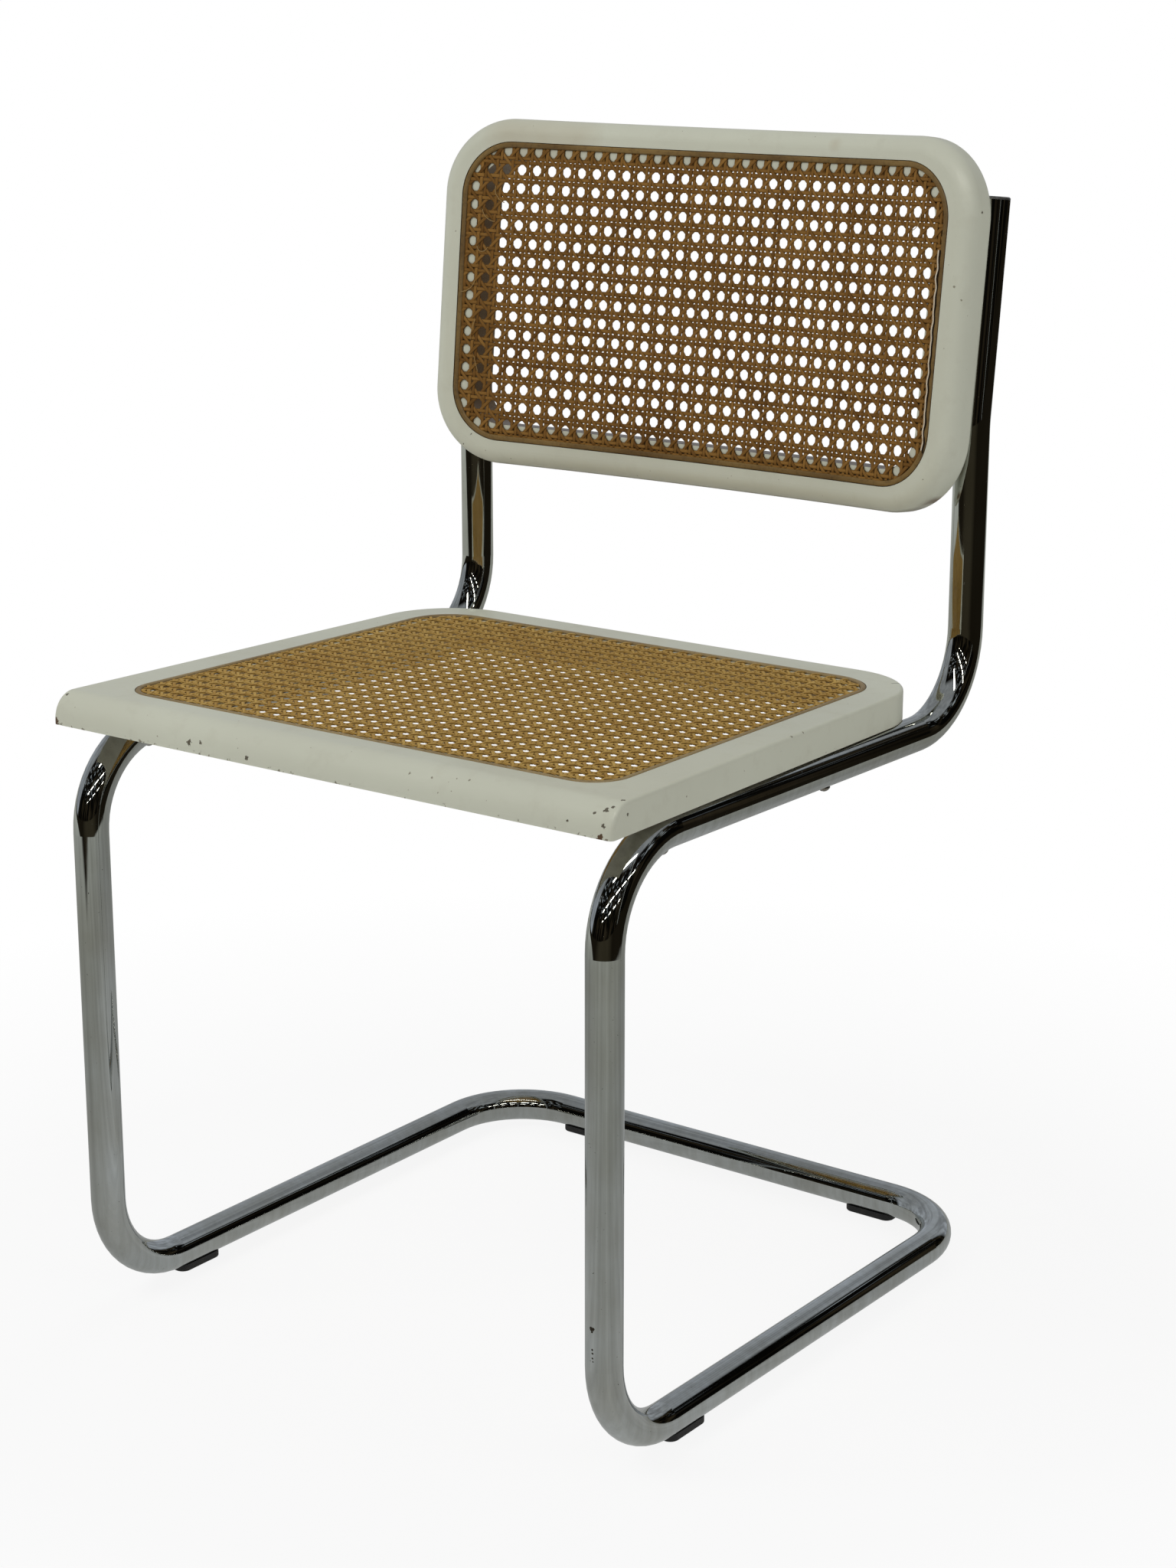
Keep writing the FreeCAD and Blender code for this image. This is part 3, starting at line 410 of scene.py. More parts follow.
# The cane's loose cut edge on the backrest, in millimetres: its place and the amount and length of its waves
CURL_U = 208.6
CURL_STOPS = range(-86, 56, 2)
CURL_LIFT = 0.3
CURL_THICKNESS = 0.4
CURL_SHIFT = (0.75, 17.0)
CURL_RISE = (0.3, 23.0)
# The pale strip and the dark ribbon of painted shade beside it: how far aside, width, how far above and tone
CURL_RIBBONS = ((0.0, 1.5, 0.0, EDGE_TONE), (1.5, 1.2, 0.5, GAP_SHADE_TONE))


def curled_edge(weave):
    """The cane's cut edge where it has come loose: a pale wavy strip beside a dark ribbon, painted shade in
    the gap.
    """
    shift = wander(*CURL_SHIFT)
    rise = wander(*CURL_RISE)
    for aside, width, above, tone in CURL_RIBBONS:
        points = [((CURL_U + aside + shift(v)) * MM, v * MM, (CURL_LIFT + above + rise(v)) * MM)
                  for v in CURL_STOPS]
        weave.strand(points, width * MM, CURL_THICKNESS * MM, tone)


# Materials

def metres(point):
    """Turns a point in millimetres into metres."""
    return tuple(value * MM for value in point)


def srgb(red, green, blue):
    """Turns screen values from 0 to 255 into linear colour."""
    def linear(value):
        value /= 255
        return value / 12.92 if value <= 0.04045 else ((value + 0.055) / 1.055) ** 2.4
    return (linear(red), linear(green), linear(blue))


class Nodes:
    """Short names for the shader nodes that the materials share. A value is a constant or a node's output."""

    def __init__(self, name):
        self.material = bpy.data.materials.new(name)
        self.material.use_nodes = True
        self.tree = self.material.node_tree
        self.shader = self.tree.nodes["Principled BSDF"]

    def feed(self, value, socket):
        if isinstance(value, bpy.types.NodeSocket):
            self.tree.links.new(value, socket)
        elif socket.type == "RGBA":
            socket.default_value = (*value, 1.0)
        else:
            socket.default_value = value

    def add(self, kind, values=(), **settings):
        """A new node with its settings and with values for its sockets, by name or in order."""
        node = self.tree.nodes.new(kind)
        for key, value in settings.items():
            setattr(node, key, value)
        pairs = values.items() if isinstance(values, dict) else enumerate(values)
        for socket, value in pairs:
            self.feed(value, node.inputs[socket])
        return node

    def set(self, socket, value):
        """Gives the shader a value."""
        self.feed(value, self.shader.inputs[socket])

    def position(self):
        return self.add("ShaderNodeTexCoord").outputs["Object"]

    def scaled(self, vector, scale):
        return self.add("ShaderNodeMapping", {"Vector": vector, "Scale": scale}).outputs["Vector"]

    def noise(self, vector, scale, detail=4.0, roughness=0.5):
        return self.add("ShaderNodeTexNoise", {"Vector": vector, "Scale": scale, "Detail": detail,
                                               "Roughness": roughness}).outputs["Fac"]

    def ramp(self, value, low, high, start=0.0, end=1.0):
        """Goes from start to end, without going past them, as the value goes from low to high."""
        return self.add("ShaderNodeMapRange", {"Value": value, "From Min": low, "From Max": high,
                                               "To Min": start, "To Max": end}).outputs["Result"]

    def math(self, operation, first, second=0.0):
        return self.add("ShaderNodeMath", (first, second), operation=operation).outputs[0]

    def mix(self, factor, first, second):
        node = self.add("ShaderNodeMix", {"Factor": factor}, data_type="RGBA")
        for name, value in (("A", first), ("B", second)):
            self.feed(value, next(s for s in node.inputs if s.name == name and s.type == "RGBA"))
        return next(s for s in node.outputs if s.type == "RGBA")

    def bump(self, height, strength, distance):
        node = self.add("ShaderNodeBump", {"Height": height, "Strength": strength, "Distance": distance})
        self.set("Normal", node.outputs["Normal"])

    def attribute(self, name):
        return self.add("ShaderNodeAttribute", attribute_name=name).outputs["Fac"]

    def combine(self, x, y, z):
        return self.add("ShaderNodeCombineXYZ", (x, y, z)).outputs[0]

    def vector(self, operation, *values):
        node = self.add("ShaderNodeVectorMath", values, operation=operation)
        return node.outputs["Value" if operation in ("DOT_PRODUCT", "DISTANCE", "LENGTH") else "Vector"]

    def dot(self, first, second):
        return self.vector("DOT_PRODUCT", first, second)

    def distance(self, centre):
        return self.vector("DISTANCE", self.position(), centre)

    def corner_shade(self, reach, deep, open_air):
        """One in a deep corner and nothing on an open surface."""
        node = self.add("ShaderNodeAmbientOcclusion", {"Distance": reach}, samples=8)
        return self.ramp(node.outputs["AO"], open_air, deep)

    def box(self, centre, half):
        """One inside a box and nothing outside."""
        offset = self.vector("SUBTRACT", self.position(), centre)
        shares = self.vector("ABSOLUTE", self.vector("DIVIDE", offset, half))
        x, y, z = self.add("ShaderNodeSeparateXYZ", (shares,)).outputs
        return self.ramp(self.math("MAXIMUM", x, self.math("MAXIMUM", y, z)), 1.0, 0.98)

    def spot(self, centre, radius, ragged):
        """One inside a ragged ball, given in millimetres of the chair, and nothing outside."""
        radius *= MM
        edge = self.ramp(ragged, 0.3, 0.7, -0.6 * radius, 0.6 * radius)
        distance = self.math("ADD", self.distance(metres(centre)), edge)
        return self.ramp(distance, radius * 1.06, radius * 0.94)

    def glow(self, colour, strength=1.0):
        """A shader that only gives off light."""
        return self.add("ShaderNodeEmission", {"Color": colour, "Strength": strength}).outputs["Emission"]

    def output(self, shader):
        """Shows another shader in place of the material's own."""
        self.feed(shader, self.tree.nodes["Material Output"].inputs["Surface"])


# Pits in the chrome of the front leg on the sitter's left: points of the chair and radii
CHROME_PITS = (((223.3, -246.0, 111.8), 1.5), ((223.5, -246.0, 109.9), 1.2), ((223.7, -246.0, 97.5), 0.8),
               ((224.0, -246.0, 95.2), 0.7), ((224.0, -246.0, 91.5), 0.7), ((224.1, -246.0, 89.4), 0.8))


def chrome_material():
    nodes = Nodes("chrome")
    position = nodes.position()
    nodes.set("Metallic", 1.0)
    cloud = nodes.noise(position, 18.0, 6.0)
    speck = nodes.noise(position, 620.0, 2.0)
    pits = nodes.ramp(speck, 0.74, 0.79)
    for centre, radius in CHROME_PITS:
        pits = nodes.math("MAXIMUM", pits, nodes.spot(centre, radius, speck))
    streak = nodes.noise(nodes.scaled(position, (170.0, 170.0, 14.0)), 1.0, 5.0, 0.6)
    tint = nodes.mix(nodes.ramp(cloud, 0.35, 0.7), srgb(204, 208, 206), srgb(186, 187, 180))
    tint = nodes.mix(nodes.ramp(streak, 0.35, 0.75, 0.0, 0.5), tint, srgb(160, 161, 152))
    nodes.set("Base Color", nodes.mix(pits, tint, srgb(70, 64, 54)))
    haze = nodes.ramp(nodes.noise(position, 46.0, 8.0, 0.62), 0.42, 0.75, 0.03, 0.08)
    nodes.set("Roughness", nodes.math("ADD", haze, nodes.math("MULTIPLY", pits, 0.35)))
    ripple = nodes.noise(position, 30.0, 2.0)
    fine = nodes.noise(nodes.scaled(position, (260.0, 260.0, 40.0)), 6.0, 2.0)
    height = nodes.math("ADD", nodes.math("MULTIPLY", ripple, 0.55), nodes.math("MULTIPLY", fine, 0.01))
    nodes.bump(nodes.math("SUBTRACT", height, nodes.math("MULTIPLY", pits, 0.25)), 0.22, 0.0004)
    return nodes.material


# Wear of the paint, with points of the chair and lengths in millimetres. Chips have a radius and a kind.
CHIPS = (
    ((-110.6, -248.6, 445.8), 1.7, "grey"), ((-100.3, -248.2, 447.3), 1.2, "grey"),
    ((-58.3, -248.9, 443.6), 1.3, "grey"), ((78.2, -244.4, 454.5), 0.9, "faint"),
    ((96.4, -244.3, 454.5), 0.8, "faint"), ((124.6, -241.7, 457.1), 0.7, "faint"),
    ((-238.6, -248.4, 441.0), 3.0, "wood"), ((-235.5, -239.2, 459.4), 1.3, "grey"),
    ((236.5, -232.0, 460.6), 1.4, "grey"), ((235.0, -240.1, 458.2), 1.2, "grey"),
    ((231.7, -242.7, 456.3), 1.6, "grey"), ((239.9, -231.8, 452.3), 0.9, "grey"),
    ((233.4, -248.1, 447.7), 1.3, "grey"), ((231.5, -249.0, 440.2), 2.2, "wood"),
    ((224.3, -245.1, 453.6), 1.0, "grey"), ((206.4, -248.4, 446.5), 0.9, "grey"),
    ((231.6, -36.8, 459.0), 0.9, "faint"), ((231.4, -22.5, 458.6), 0.8, "faint"),
    ((234.5, 187.9, 783.4), 0.9, "grey"), ((224.2, 170.5, 733.7), 0.7, "faint"),
    ((229.7, 171.9, 725.0), 0.7, "faint"),
)
CHIP_COLOURS = {"grey": (104, 98, 82), "wood": (96, 72, 48), "faint": (152, 148, 128)}
# Faint grime on the top rail, with its radius
GRIME = (((-178.5, 186.0, 822.0), 24.0), ((-148.0, 190.0, 820.0), 30.0), ((-117.9, 195.0, 821.0), 24.0),
         ((108.4, 197.5, 824.6), 7.0))
# Hairline cracks where the frames' pieces meet, with their direction and half length
CRACKS = (((213.0, 140.0, 458.2), (0.70, 0.71, 0.0), 11.0), ((-200.0, 160.0, 588.5), (0.68, 0.0, 0.73), 9.0))
# The lower edge of the seat's front, which is nicked: from where to where the nicks fade in, in metres
NICKED_BELOW = (0.4415, 0.4402)
NICKED_BEFORE = (-0.2455, -0.2465)


def paint_material(name, facing, middle, half):
    """Worn white paint. The walls of the panel's opening get a dark brown of painted shade: they are inside a
    box, given by its middle and half size, and don't look the way that the panel faces."""
    nodes = Nodes(name)
    position = nodes.position()
    normal = nodes.add("ShaderNodeNewGeometry").outputs["Normal"]
    broad = nodes.noise(position, 7.0, 5.0)
    mottled = nodes.noise(position, 55.0, 5.0, 0.6)
    fine = nodes.noise(position, 420.0, 3.0, 0.6)
    ragged = nodes.noise(position, 620.0, 2.0)
    colour = nodes.mix(nodes.ramp(broad, 0.3, 0.7), srgb(216, 218, 199), srgb(208, 209, 190))
    colour = nodes.mix(nodes.ramp(mottled, 0.55, 0.85, 0.0, 0.3), colour, srgb(184, 180, 158))
    for centre, radius in GRIME:
        share = nodes.ramp(nodes.distance(metres(centre)), radius * MM, 0.0, 0.0, 0.35)
        colour = nodes.mix(share, colour, srgb(186, 170, 140))
    specks = nodes.ramp(nodes.noise(position, 300.0, 1.0), 0.79, 0.81, 0.0, 0.7)
    colour = nodes.mix(specks, colour, srgb(130, 118, 96))

    # Painted shade in the corners, partly a yellowed stain, going dark brown in the deepest corners
    corner_shade = nodes.corner_shade(0.006, 0.35, 0.85)
    colour = nodes.mix(nodes.math("MULTIPLY", corner_shade, 0.8), colour, srgb(170, 156, 116))
    colour = nodes.mix(nodes.ramp(corner_shade, 0.55, 1.0, 0.0, 0.9), colour, srgb(58, 44, 28))
    # Dark brown painted shade on the walls of the opening, which sit in a recess inside the box
    wall = nodes.ramp(nodes.math("ABSOLUTE", nodes.dot(normal, facing)), 0.65, 0.5)
    opening_shade = nodes.math("MULTIPLY", nodes.math("MULTIPLY", wall, nodes.box(middle, half)),
                       nodes.corner_shade(0.05, 0.88, 0.97))
    colour = nodes.mix(nodes.math("MULTIPLY", opening_shade, 0.95), colour, srgb(112, 84, 46))
    # Darker on faces that turn down: painted shade
    downward_shade = nodes.ramp(nodes.dot(normal, DOWN), 0.8, 0.95, 0.0, 0.85)
    colour = nodes.mix(downward_shade, colour, srgb(138, 132, 112))

    # Nicks, chips and cracks
    edge = nodes.math("MULTIPLY", nodes.ramp(nodes.dot(position, UP), *NICKED_BELOW),
                      nodes.ramp(nodes.dot(position, REARWARD), *NICKED_BEFORE))
    nicks = nodes.ramp(nodes.noise(position, 240.0, 2.0), 0.62, 0.66, 0.0, 0.85)
    colour = nodes.mix(nodes.math("MULTIPLY", edge, nicks), colour, srgb(122, 114, 94))
    bare = 0.0
    for kind, tone in CHIP_COLOURS.items():
        share = 0.0
        for centre, radius, chip in CHIPS:
            if chip == kind:
                share = nodes.math("MAXIMUM", share, nodes.spot(centre, radius, ragged))
        colour = nodes.mix(share, colour, srgb(*tone))
        bare = nodes.math("MAXIMUM", bare, share)
    for centre, way, reach in CRACKS:
        offset = nodes.vector("SUBTRACT", position, metres(centre))
        run = nodes.math("ABSOLUTE", nodes.dot(offset, way))
        away = nodes.vector("LENGTH", nodes.vector("CROSS_PRODUCT", offset, way))
        line = nodes.math("MULTIPLY", nodes.ramp(away, 0.0006, 0.0003),
                          nodes.ramp(run, reach * MM, reach * MM * 0.9))
        colour = nodes.mix(line, colour, srgb(92, 82, 64))
        bare = nodes.math("MAXIMUM", bare, line)

    nodes.set("Base Color", colour)
    nodes.set("Roughness", nodes.ramp(mottled, 0.3, 0.7, 0.34, 0.48))
    nodes.set("Coat Weight", 0.12)
    nodes.set("Coat Roughness", 0.25)
    height = nodes.math("ADD", nodes.math("MULTIPLY", mottled, 0.35), nodes.math("MULTIPLY", fine, 0.12))
    nodes.bump(nodes.math("SUBTRACT", height, nodes.math("MULTIPLY", bare, 0.5)), 0.25, 0.0005)
    return nodes.material


def cane_material(name, light, dark, grain_and_edge_shade):
    """Cane with fibres along each strand and painted shade along the strands' edges. Loose fibres and the cut
    edge have their own colours, and the gap beside the cut edge a near black of painted shade.
    """
    nodes = Nodes(name)
    across = nodes.attribute("across")
    along = nodes.attribute("along")
    tone = nodes.attribute("tone")
    place = nodes.combine(nodes.math("MULTIPLY", along, 30.0), nodes.math("MULTIPLY", across, 14.0),
                          nodes.math("MULTIPLY", tone, 90.0))
    fibres = nodes.noise(place, 1.0, 4.0, 0.6)
    patches = nodes.noise(nodes.position(), 16.0, 4.0, 0.6)
    shade = nodes.math("ADD", nodes.math("MULTIPLY", tone, 0.55), nodes.math("MULTIPLY", patches, 0.45))
    colour = nodes.mix(nodes.ramp(shade, 0.25, 0.75), dark, light)
    colour = nodes.mix(nodes.ramp(fibres, 0.5, 0.72, 0.0, 0.6), colour, grain_and_edge_shade)
    # Painted shade along each strand's edges
    edge_shade = nodes.ramp(nodes.math("ABSOLUTE", across), 0.30, 0.5, 0.0, 0.45)
    colour = nodes.mix(edge_shade, colour, grain_and_edge_shade)
    # Pale loose fibres and cut edge, and a near black of painted shade for the gap beside the cut edge
    stray_and_gap_shade = nodes.mix(nodes.ramp(tone, 2.3, 2.7), srgb(158, 130, 84), srgb(216, 202, 178))
    stray_and_gap_shade = nodes.mix(nodes.ramp(tone, 3.3, 3.7), stray_and_gap_shade, srgb(34, 24, 14))
    nodes.set("Base Color", nodes.mix(nodes.ramp(tone, 1.4, 1.6), colour, stray_and_gap_shade))
    nodes.set("Roughness", nodes.ramp(fibres, 0.3, 0.7, 0.38, 0.6))
    nodes.set("Specular IOR Level", 0.15)
    nodes.bump(fibres, 0.25, 0.0002)
    return nodes.material


def spline_material(name, light, dark, grain_tone):
    nodes = Nodes(name)
    position = nodes.position()
    grain = nodes.noise(nodes.scaled(position, (60.0, 60.0, 60.0)), 6.0, 6.0, 0.65)
    patches = nodes.noise(position, 12.0, 4.0)
    colour = nodes.mix(nodes.ramp(patches, 0.35, 0.65), light, dark)
    colour = nodes.mix(nodes.ramp(grain, 0.5, 0.75, 0.0, 0.6), colour, grain_tone)
    # Dark brown painted shade in the spline's crevices
    nodes.set("Base Color", nodes.mix(nodes.corner_shade(0.003, 0.25, 0.75), colour, srgb(46, 32, 18)))
    nodes.set("Roughness", 0.5)
    nodes.bump(grain, 0.25, 0.0004)
    return nodes.material


def scuffed_material(name, metallic, scale, detail, wear, fresh, worn, roughness, relief):
    """Fine scuffs that change the colour, roughness and relief. Wear is the ramp from fresh to worn."""
    nodes = Nodes(name)
    scuffs = nodes.noise(nodes.position(), scale, detail, 0.6)
    nodes.set("Metallic", metallic)
    nodes.set("Base Color", nodes.mix(nodes.ramp(scuffs, *wear), fresh, worn))
    nodes.set("Roughness", nodes.ramp(scuffs, 0.3, 0.7, *roughness))
    nodes.bump(scuffs, *relief)
    return nodes.material


def dowel_material():
    nodes = Nodes("raw_beech")
    grain = nodes.noise(nodes.scaled(nodes.position(), (90.0, 90.0, 400.0)), 3.0, 5.0)
    nodes.set("Base Color", nodes.mix(nodes.ramp(grain, 0.35, 0.7), srgb(206, 170, 122), srgb(178, 138, 92)))
    nodes.set("Roughness", 0.6)
    nodes.bump(grain, 0.2, 0.0003)
    return nodes.material


# Dressing of the solids

SHARP_ANGLE = math.radians(32)
# The box round each panel's opening, in metres: its middle and half size
SEAT_OPENING = ((0.0, -0.042, 0.447), (0.216, 0.188, 0.03))
BACK_OPENING = ((0.0, 0.19, 0.699), (0.216, 0.1, 0.12))


def dress(names, material):
    for name in names:
        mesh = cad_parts[name].data
        mesh.materials.clear()
        mesh.materials.append(material)
        mesh.polygons.foreach_set("use_smooth", [True] * len(mesh.polygons))
        mesh.set_sharp_from_angle(angle=SHARP_ANGLE)


dress(["tube_frame"], chrome_material())
dress(["upright_cap_left", "upright_cap_right"],
      scuffed_material("cap_metal", metallic=0.85, scale=240.0, detail=4.0, wear=(0.4, 0.7),
                       fresh=srgb(150, 150, 148), worn=srgb(118, 116, 110), roughness=(0.3, 0.5),
                       relief=(0.2, 0.0002)))
dress(["front_glide_left", "front_glide_right", "rear_glide_left", "rear_glide_right"],
      scuffed_material("black_plastic", metallic=0.0, scale=180.0, detail=5.0, wear=(0.45, 0.8, 0.0, 0.7),
                       fresh=srgb(26, 26, 26), worn=srgb(70, 68, 64), roughness=(0.45, 0.7),
                       relief=(0.3, 0.0003)))
dress(["seat_front_rail", "seat_rear_rail", "seat_left_rail", "seat_right_rail"],
      paint_material("seat_paint", UP, *SEAT_OPENING))
dress(["back_top_rail", "back_bottom_rail", "back_left_stile", "back_right_stile"],
      paint_material("back_paint", REARWARD, *BACK_OPENING))
dress(["seat_spline"],
      spline_material("seat_reed", srgb(164, 143, 100), srgb(138, 116, 76), srgb(96, 76, 44)))
dress(["back_spline"],
      spline_material("back_reed", srgb(138, 110, 58), srgb(106, 80, 38), srgb(70, 51, 25)))
dress(["seat_screws", "back_screws"],
      scuffed_material("zinc_screw", metallic=1.0, scale=400.0, detail=4.0, wear=(0.45, 0.7),
                       fresh=srgb(178, 176, 168), worn=srgb(120, 104, 84), roughness=(0.28, 0.5),
                       relief=(0.3, 0.0002)))
dress(["seat_dowels", "back_dowels"], dowel_material())


# Cane panels. The cane ends this far inside the groove's outer edge, in millimetres.

CANE_INSET = 4.0

random.seed(11)
seat_strands = Weave(seat_point)
weave_panel(seat_strands, seat_outline(CANE_INSET), (0.0, 191.0), (12.85, 12.85), -1.1, 2.85, 0.3, 1.2)
back_strands = Weave(back_point)
weave_panel(back_strands, back_outline(CANE_INSET), (4.4, -3.7), (13.0, 13.8), -0.6, 2.82, 0.64, 0.6)
curled_edge(back_strands)
for start in FIBRE_STARTS:
    loose_fibre(back_strands, start, random.uniform(*FIBRE_HEADINGS), random.uniform(*FIBRE_LENGTHS))
seat_weave = seat_strands.finish("seat_cane_weave")
back_weave = back_strands.finish("back_cane_weave")
seat_weave.data.materials.append(
    cane_material("cane_seat", srgb(200, 166, 92), srgb(172, 134, 64), srgb(122, 90, 42)))
back_weave.data.materials.append(
    cane_material("cane_back", srgb(154, 113, 54), srgb(108, 73, 28), srgb(62, 40, 14)))
for piece, node in ((seat_weave, "seat_cane"), (back_weave, "back_cane")):
    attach(piece, "root")
    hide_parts(node)


# Floor and background. The floor turns to plain white away from the chair and keeps the chair's shadow.

FLOOR_HALF = 12.0
FLOOR_HEIGHT = -0.8 * MM
FADE_START = 0.45
FADE_END = 0.95
# How strongly the world lights the chair, beside the white that it shows
WORLD_LIGHT = 0.4


def white_to_eyes(tree):
    """One for rays that the camera, a reflection or glass sends out."""
    path = tree.nodes.new("ShaderNodeLightPath")
    seen = path.outputs["Is Camera Ray"]
    for ray in ("Is Glossy Ray", "Is Transmission Ray"):
        either = tree.nodes.new("ShaderNodeMath")
        either.operation = "MAXIMUM"
        tree.links.new(seen, either.inputs[0])
        tree.links.new(path.outputs[ray], either.inputs[1])
        seen = either.outputs[0]
    return seen


def floor_material():
    nodes = Nodes("pale_floor")
    grain = nodes.noise(nodes.position(), 30.0, 3.0)
    nodes.set("Base Color", nodes.mix(grain, (0.84, 0.84, 0.84), (0.88, 0.88, 0.88)))
    nodes.set("Roughness", 0.9)
    nodes.set("Specular IOR Level", 0.0)
    fade = nodes.ramp(nodes.distance(CHAIR_FOOT), FADE_START, FADE_END, 0.88, 1.0)
    share = nodes.math("MULTIPLY", fade, white_to_eyes(nodes.tree))
    lit = nodes.shader.outputs["BSDF"]
    nodes.output(nodes.add("ShaderNodeMixShader", (share, lit, nodes.glow((1.0, 1.0, 1.0)))).outputs[0])
    return nodes.material


floor = flat_square("floor", FLOOR_HALF, FLOOR_HEIGHT)
floor.data.materials.append(floor_material())

scene = bpy.context.scene
scene.view_settings.view_transform = "Standard"
world = bpy.data.worlds.new("studio")
scene.world = world
world.use_nodes = True
background = world.node_tree.nodes["Background"]
background.inputs["Color"].default_value = (1, 1, 1, 1)
strength = world.node_tree.nodes.new("ShaderNodeMapRange")
strength.inputs["To Min"].default_value = WORLD_LIGHT
strength.inputs["To Max"].default_value = 1.0
world.node_tree.links.new(white_to_eyes(world.node_tree), strength.inputs["Value"])
world.node_tree.links.new(strength.outputs["Result"], background.inputs["Strength"])


# The hall around the studio. It shows only as reflections, so the tube reads as chrome, and lights nothing.
# Headings are in degrees and distances in metres.

HALL_RADIUS = 11.0
GROUND_HEIGHT = -0.4 * MM
HALL_STRENGTH = 1.27
DARK_HEADING = 55.0
STRIP_HEADING = 86.0
CEILING = 2.9
LAMP_HEADING = 134.0
LAMP_HALF_LENGTH = 0.55
LAMP_HALF_WIDTH = 0.1
LAMP_STRENGTH = 12.0
# Each row of lamps: how far it is from the chair, and where its lamps are along it
LAMP_ROWS = ((1.75, (-1.0, 0.0, 1.0)), (4.1, (-4.2, -2.6, -1.0, 0.6, 2.2, 3.8, 5.4)),
             (7.2, (-6.0, -3.6, -1.2, 1.2, 3.6)))


def heading(azimuth):
    """The level direction at an azimuth in degrees: 0 is the front and 90 the sitter's left."""
    angle = math.radians(azimuth)
    return (math.sin(angle), -math.cos(angle), 0.0)


def only_reflected(item, material):
    item.data.materials.append(material)
    item.visible_camera = False
    item.visible_diffuse = False
    item.visible_transmission = False
    item.visible_volume_scatter = False
    item.visible_shadow = False


def hall_material():
    """Dark walls in front and at the side with panes of light in them, pale walls behind and a lit strip."""
    nodes = Nodes("hall_walls")
    way = nodes.vector("NORMALIZE", nodes.position())
    level = nodes.vector("NORMALIZE", nodes.vector("MULTIPLY", way, (1.0, 1.0, 0.0)))
    rise = nodes.dot(way, UP)
    sector = nodes.ramp(nodes.dot(level, heading(DARK_HEADING)), -0.39, -0.29)
    top = nodes.ramp(nodes.dot(level, heading(-20.0)), -1.0, 1.0, 0.6, 0.92)
    dark = nodes.math("MULTIPLY", sector, nodes.ramp(nodes.math("SUBTRACT", top, rise), -0.03, 0.03))
    clutter = nodes.noise(nodes.scaled(way, (7.0, 7.0, 3.0)), 1.0, 3.0)
    gloom = nodes.mix(nodes.ramp(clutter, 0.5, 0.68), (0.002, 0.0018, 0.0015), (0.026, 0.02, 0.012))
    high = nodes.math("MULTIPLY", nodes.ramp(rise, 0.3, 0.4), nodes.ramp(rise, 0.85, 0.7))
    panes = nodes.ramp(nodes.noise(nodes.scaled(way, (9.0, 9.0, 16.0)), 1.0, 2.0), 0.58, 0.66)
    gloom = nodes.mix(nodes.math("MULTIPLY", high, panes), gloom, (0.3, 0.33, 0.36))
    walls = nodes.mix(nodes.ramp(rise, 0.1, 0.9), (0.35, 0.375, 0.42), (0.25, 0.26, 0.275))
    walls = nodes.mix(nodes.ramp(clutter, 0.4, 0.62), walls, (0.2, 0.21, 0.23))
    strip = nodes.math("ABSOLUTE", nodes.dot(level, heading(STRIP_HEADING + 90.0)))
    lit = nodes.math("MULTIPLY", nodes.ramp(strip, 0.016, 0.008), sector)
    hall = nodes.mix(lit, nodes.mix(dark, walls, gloom), (0.3, 0.31, 0.3))
    nodes.output(nodes.glow(hall, HALL_STRENGTH))
    return nodes.material


def ground_material():
    """A pale sheet round the chair that runs out behind it, on a dark floor."""
    nodes = Nodes("hall_ground")
    position = nodes.position()
    level = nodes.vector("NORMALIZE", position)
    reach = nodes.distance(CHAIR_FOOT)
    near = nodes.math("MAXIMUM", nodes.ramp(reach, 1.22, 1.12),
                      nodes.ramp(nodes.distance((0.28, -0.27, 0.0)), 1.17, 1.06))
    pale = nodes.math("MAXIMUM", near, nodes.ramp(nodes.distance((-2.6, 1.6, 0.0)), 3.7, 3.5))

    # The sheet's grey, with changes to both sides, far out and under the chair
    streaks = nodes.noise(nodes.scaled(level, (5.0, 5.0, 5.0)), 1.0, 3.0)
    grey = nodes.ramp(streaks, 0.3, 0.7, 0.215, 0.285)
    for change in (nodes.ramp(nodes.dot(level, heading(46.0)), 0.2, 1.0, 0.0, 0.045),
                   nodes.ramp(nodes.dot(level, heading(-40.0)), 0.3, 1.0, 0.0, 0.03),
                   nodes.ramp(reach, 1.0, 3.4, 0.0, 0.16), nodes.ramp(reach, 0.35, 0.8, 0.05, -0.02)):
        grey = nodes.math("ADD", grey, change)
    sheet = nodes.combine(nodes.math("MULTIPLY", grey, 0.985), grey,
                          nodes.math("MULTIPLY", grey, nodes.ramp(reach, 0.4, 1.2, 1.0, 0.93)))
    patch = nodes.ramp(nodes.dot(level, heading(28.0)), 0.75, 0.95)
    dark_floor = nodes.mix(patch, (0.01, 0.008, 0.005), (0.032, 0.027, 0.017))
    nodes.output(nodes.glow(nodes.mix(pale, dark_floor, sheet), HALL_STRENGTH))
    return nodes.material


def lamp_material():
    nodes = Nodes("hall_lamp_glow")
    nodes.output(nodes.glow((1.0, 0.98, 0.93), LAMP_STRENGTH))
    return nodes.material


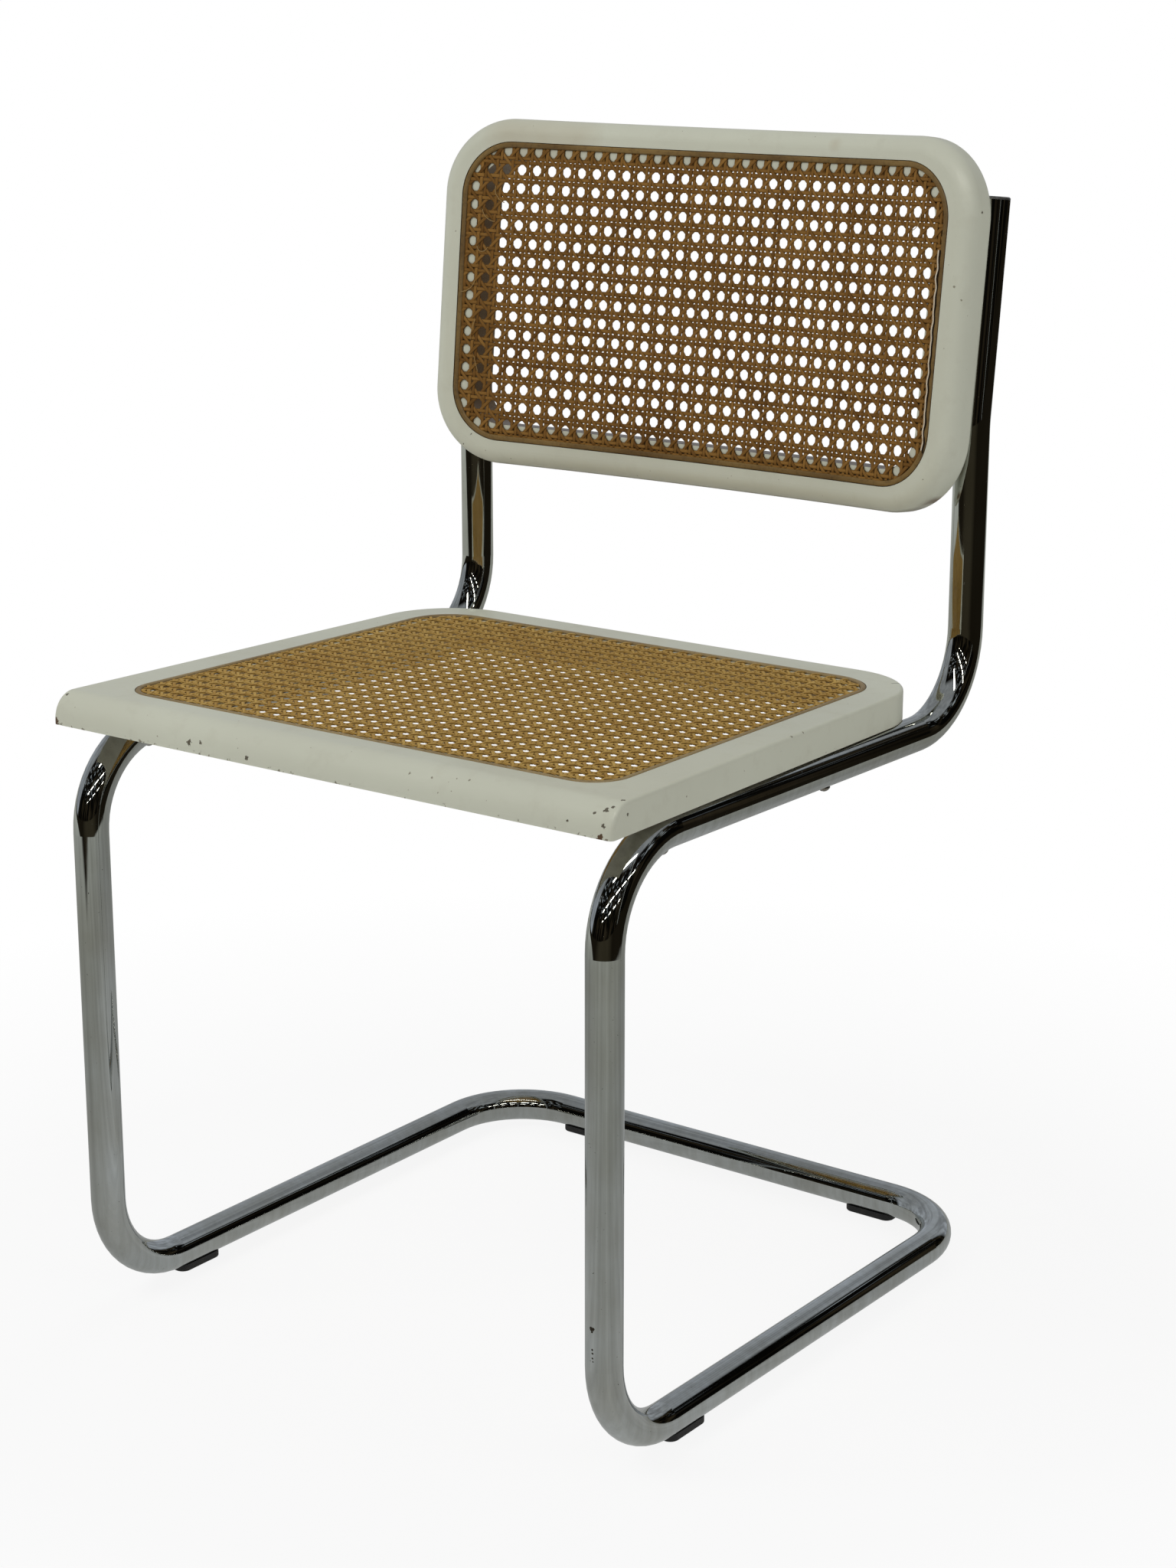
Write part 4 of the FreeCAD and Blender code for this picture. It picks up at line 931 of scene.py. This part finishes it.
def lamp_rows():
    """The corners of each ceiling lamp."""
    along = Vector(heading(LAMP_HEADING)).xy
    across = Vector(heading(LAMP_HEADING - 90.0)).xy
    half_along = along * LAMP_HALF_LENGTH
    half_across = across * LAMP_HALF_WIDTH
    corners = []
    for offset, places in LAMP_ROWS:
        for place in places:
            middle = across * offset + along * place
            spots = (middle - half_along - half_across, middle + half_along - half_across,
                     middle + half_along + half_across, middle - half_along + half_across)
            corners.append([(spot.x, spot.y, CEILING) for spot in spots])
    return corners


hall_mesh = bmesh.new()
bmesh.ops.create_icosphere(hall_mesh, subdivisions=5, radius=HALL_RADIUS)
hall = new_object("hall_walls", [], [])
hall_mesh.to_mesh(hall.data)
hall_mesh.free()
only_reflected(hall, hall_material())
only_reflected(flat_square("hall_ground", HALL_RADIUS, GROUND_HEIGHT), ground_material())
only_reflected(quads("hall_lamps", lamp_rows()), lamp_material())


# Lamps and camera

LAMP_SIZE = 1.6
CHAIR_MIDDLE = (0, 0, 0.5)
PHOTO_HEIGHT = 2048
FOCAL_PIXELS = 3927.65
SENSOR_WIDTH = 36
AZIMUTH = math.radians(36.64)
ELEVATION = math.radians(15.567)
CAMERA_PLACE = (1.265677, -1.651507, 0.959456)


def area_light(name, place, power):
    """A soft square lamp that is turned to the chair and has no reflection."""
    lamp = bpy.data.lights.new(name, "AREA")
    lamp.size = LAMP_SIZE
    lamp.energy = power
    item = bpy.data.objects.new(name, lamp)
    scene.collection.objects.link(item)
    item.location = place
    item.rotation_euler = (Vector(CHAIR_MIDDLE) - Vector(place)).to_track_quat("-Z", "Y").to_euler()
    item.visible_glossy = False


area_light("key", (-1.2, -2.1, 2.9), 36)
area_light("fill", (2.7, -0.2, 2.0), 11)
area_light("rear", (-0.8, 2.3, 2.6), 12)

camera_data = bpy.data.cameras.new("camera")
camera_data.sensor_width = SENSOR_WIDTH
camera_data.sensor_fit = "AUTO"
camera_data.lens = FOCAL_PIXELS * SENSOR_WIDTH / PHOTO_HEIGHT
camera = bpy.data.objects.new("camera", camera_data)
scene.collection.objects.link(camera)
scene.camera = camera
back = Vector((math.sin(AZIMUTH) * math.cos(ELEVATION), -math.cos(AZIMUTH) * math.cos(ELEVATION),
               math.sin(ELEVATION)))
right = Vector((math.cos(AZIMUTH), math.sin(AZIMUTH), 0))
up = back.cross(right)
turn = Matrix((right, up, back)).transposed().to_4x4()
camera.matrix_world = Matrix.Translation(CAMERA_PLACE) @ turn
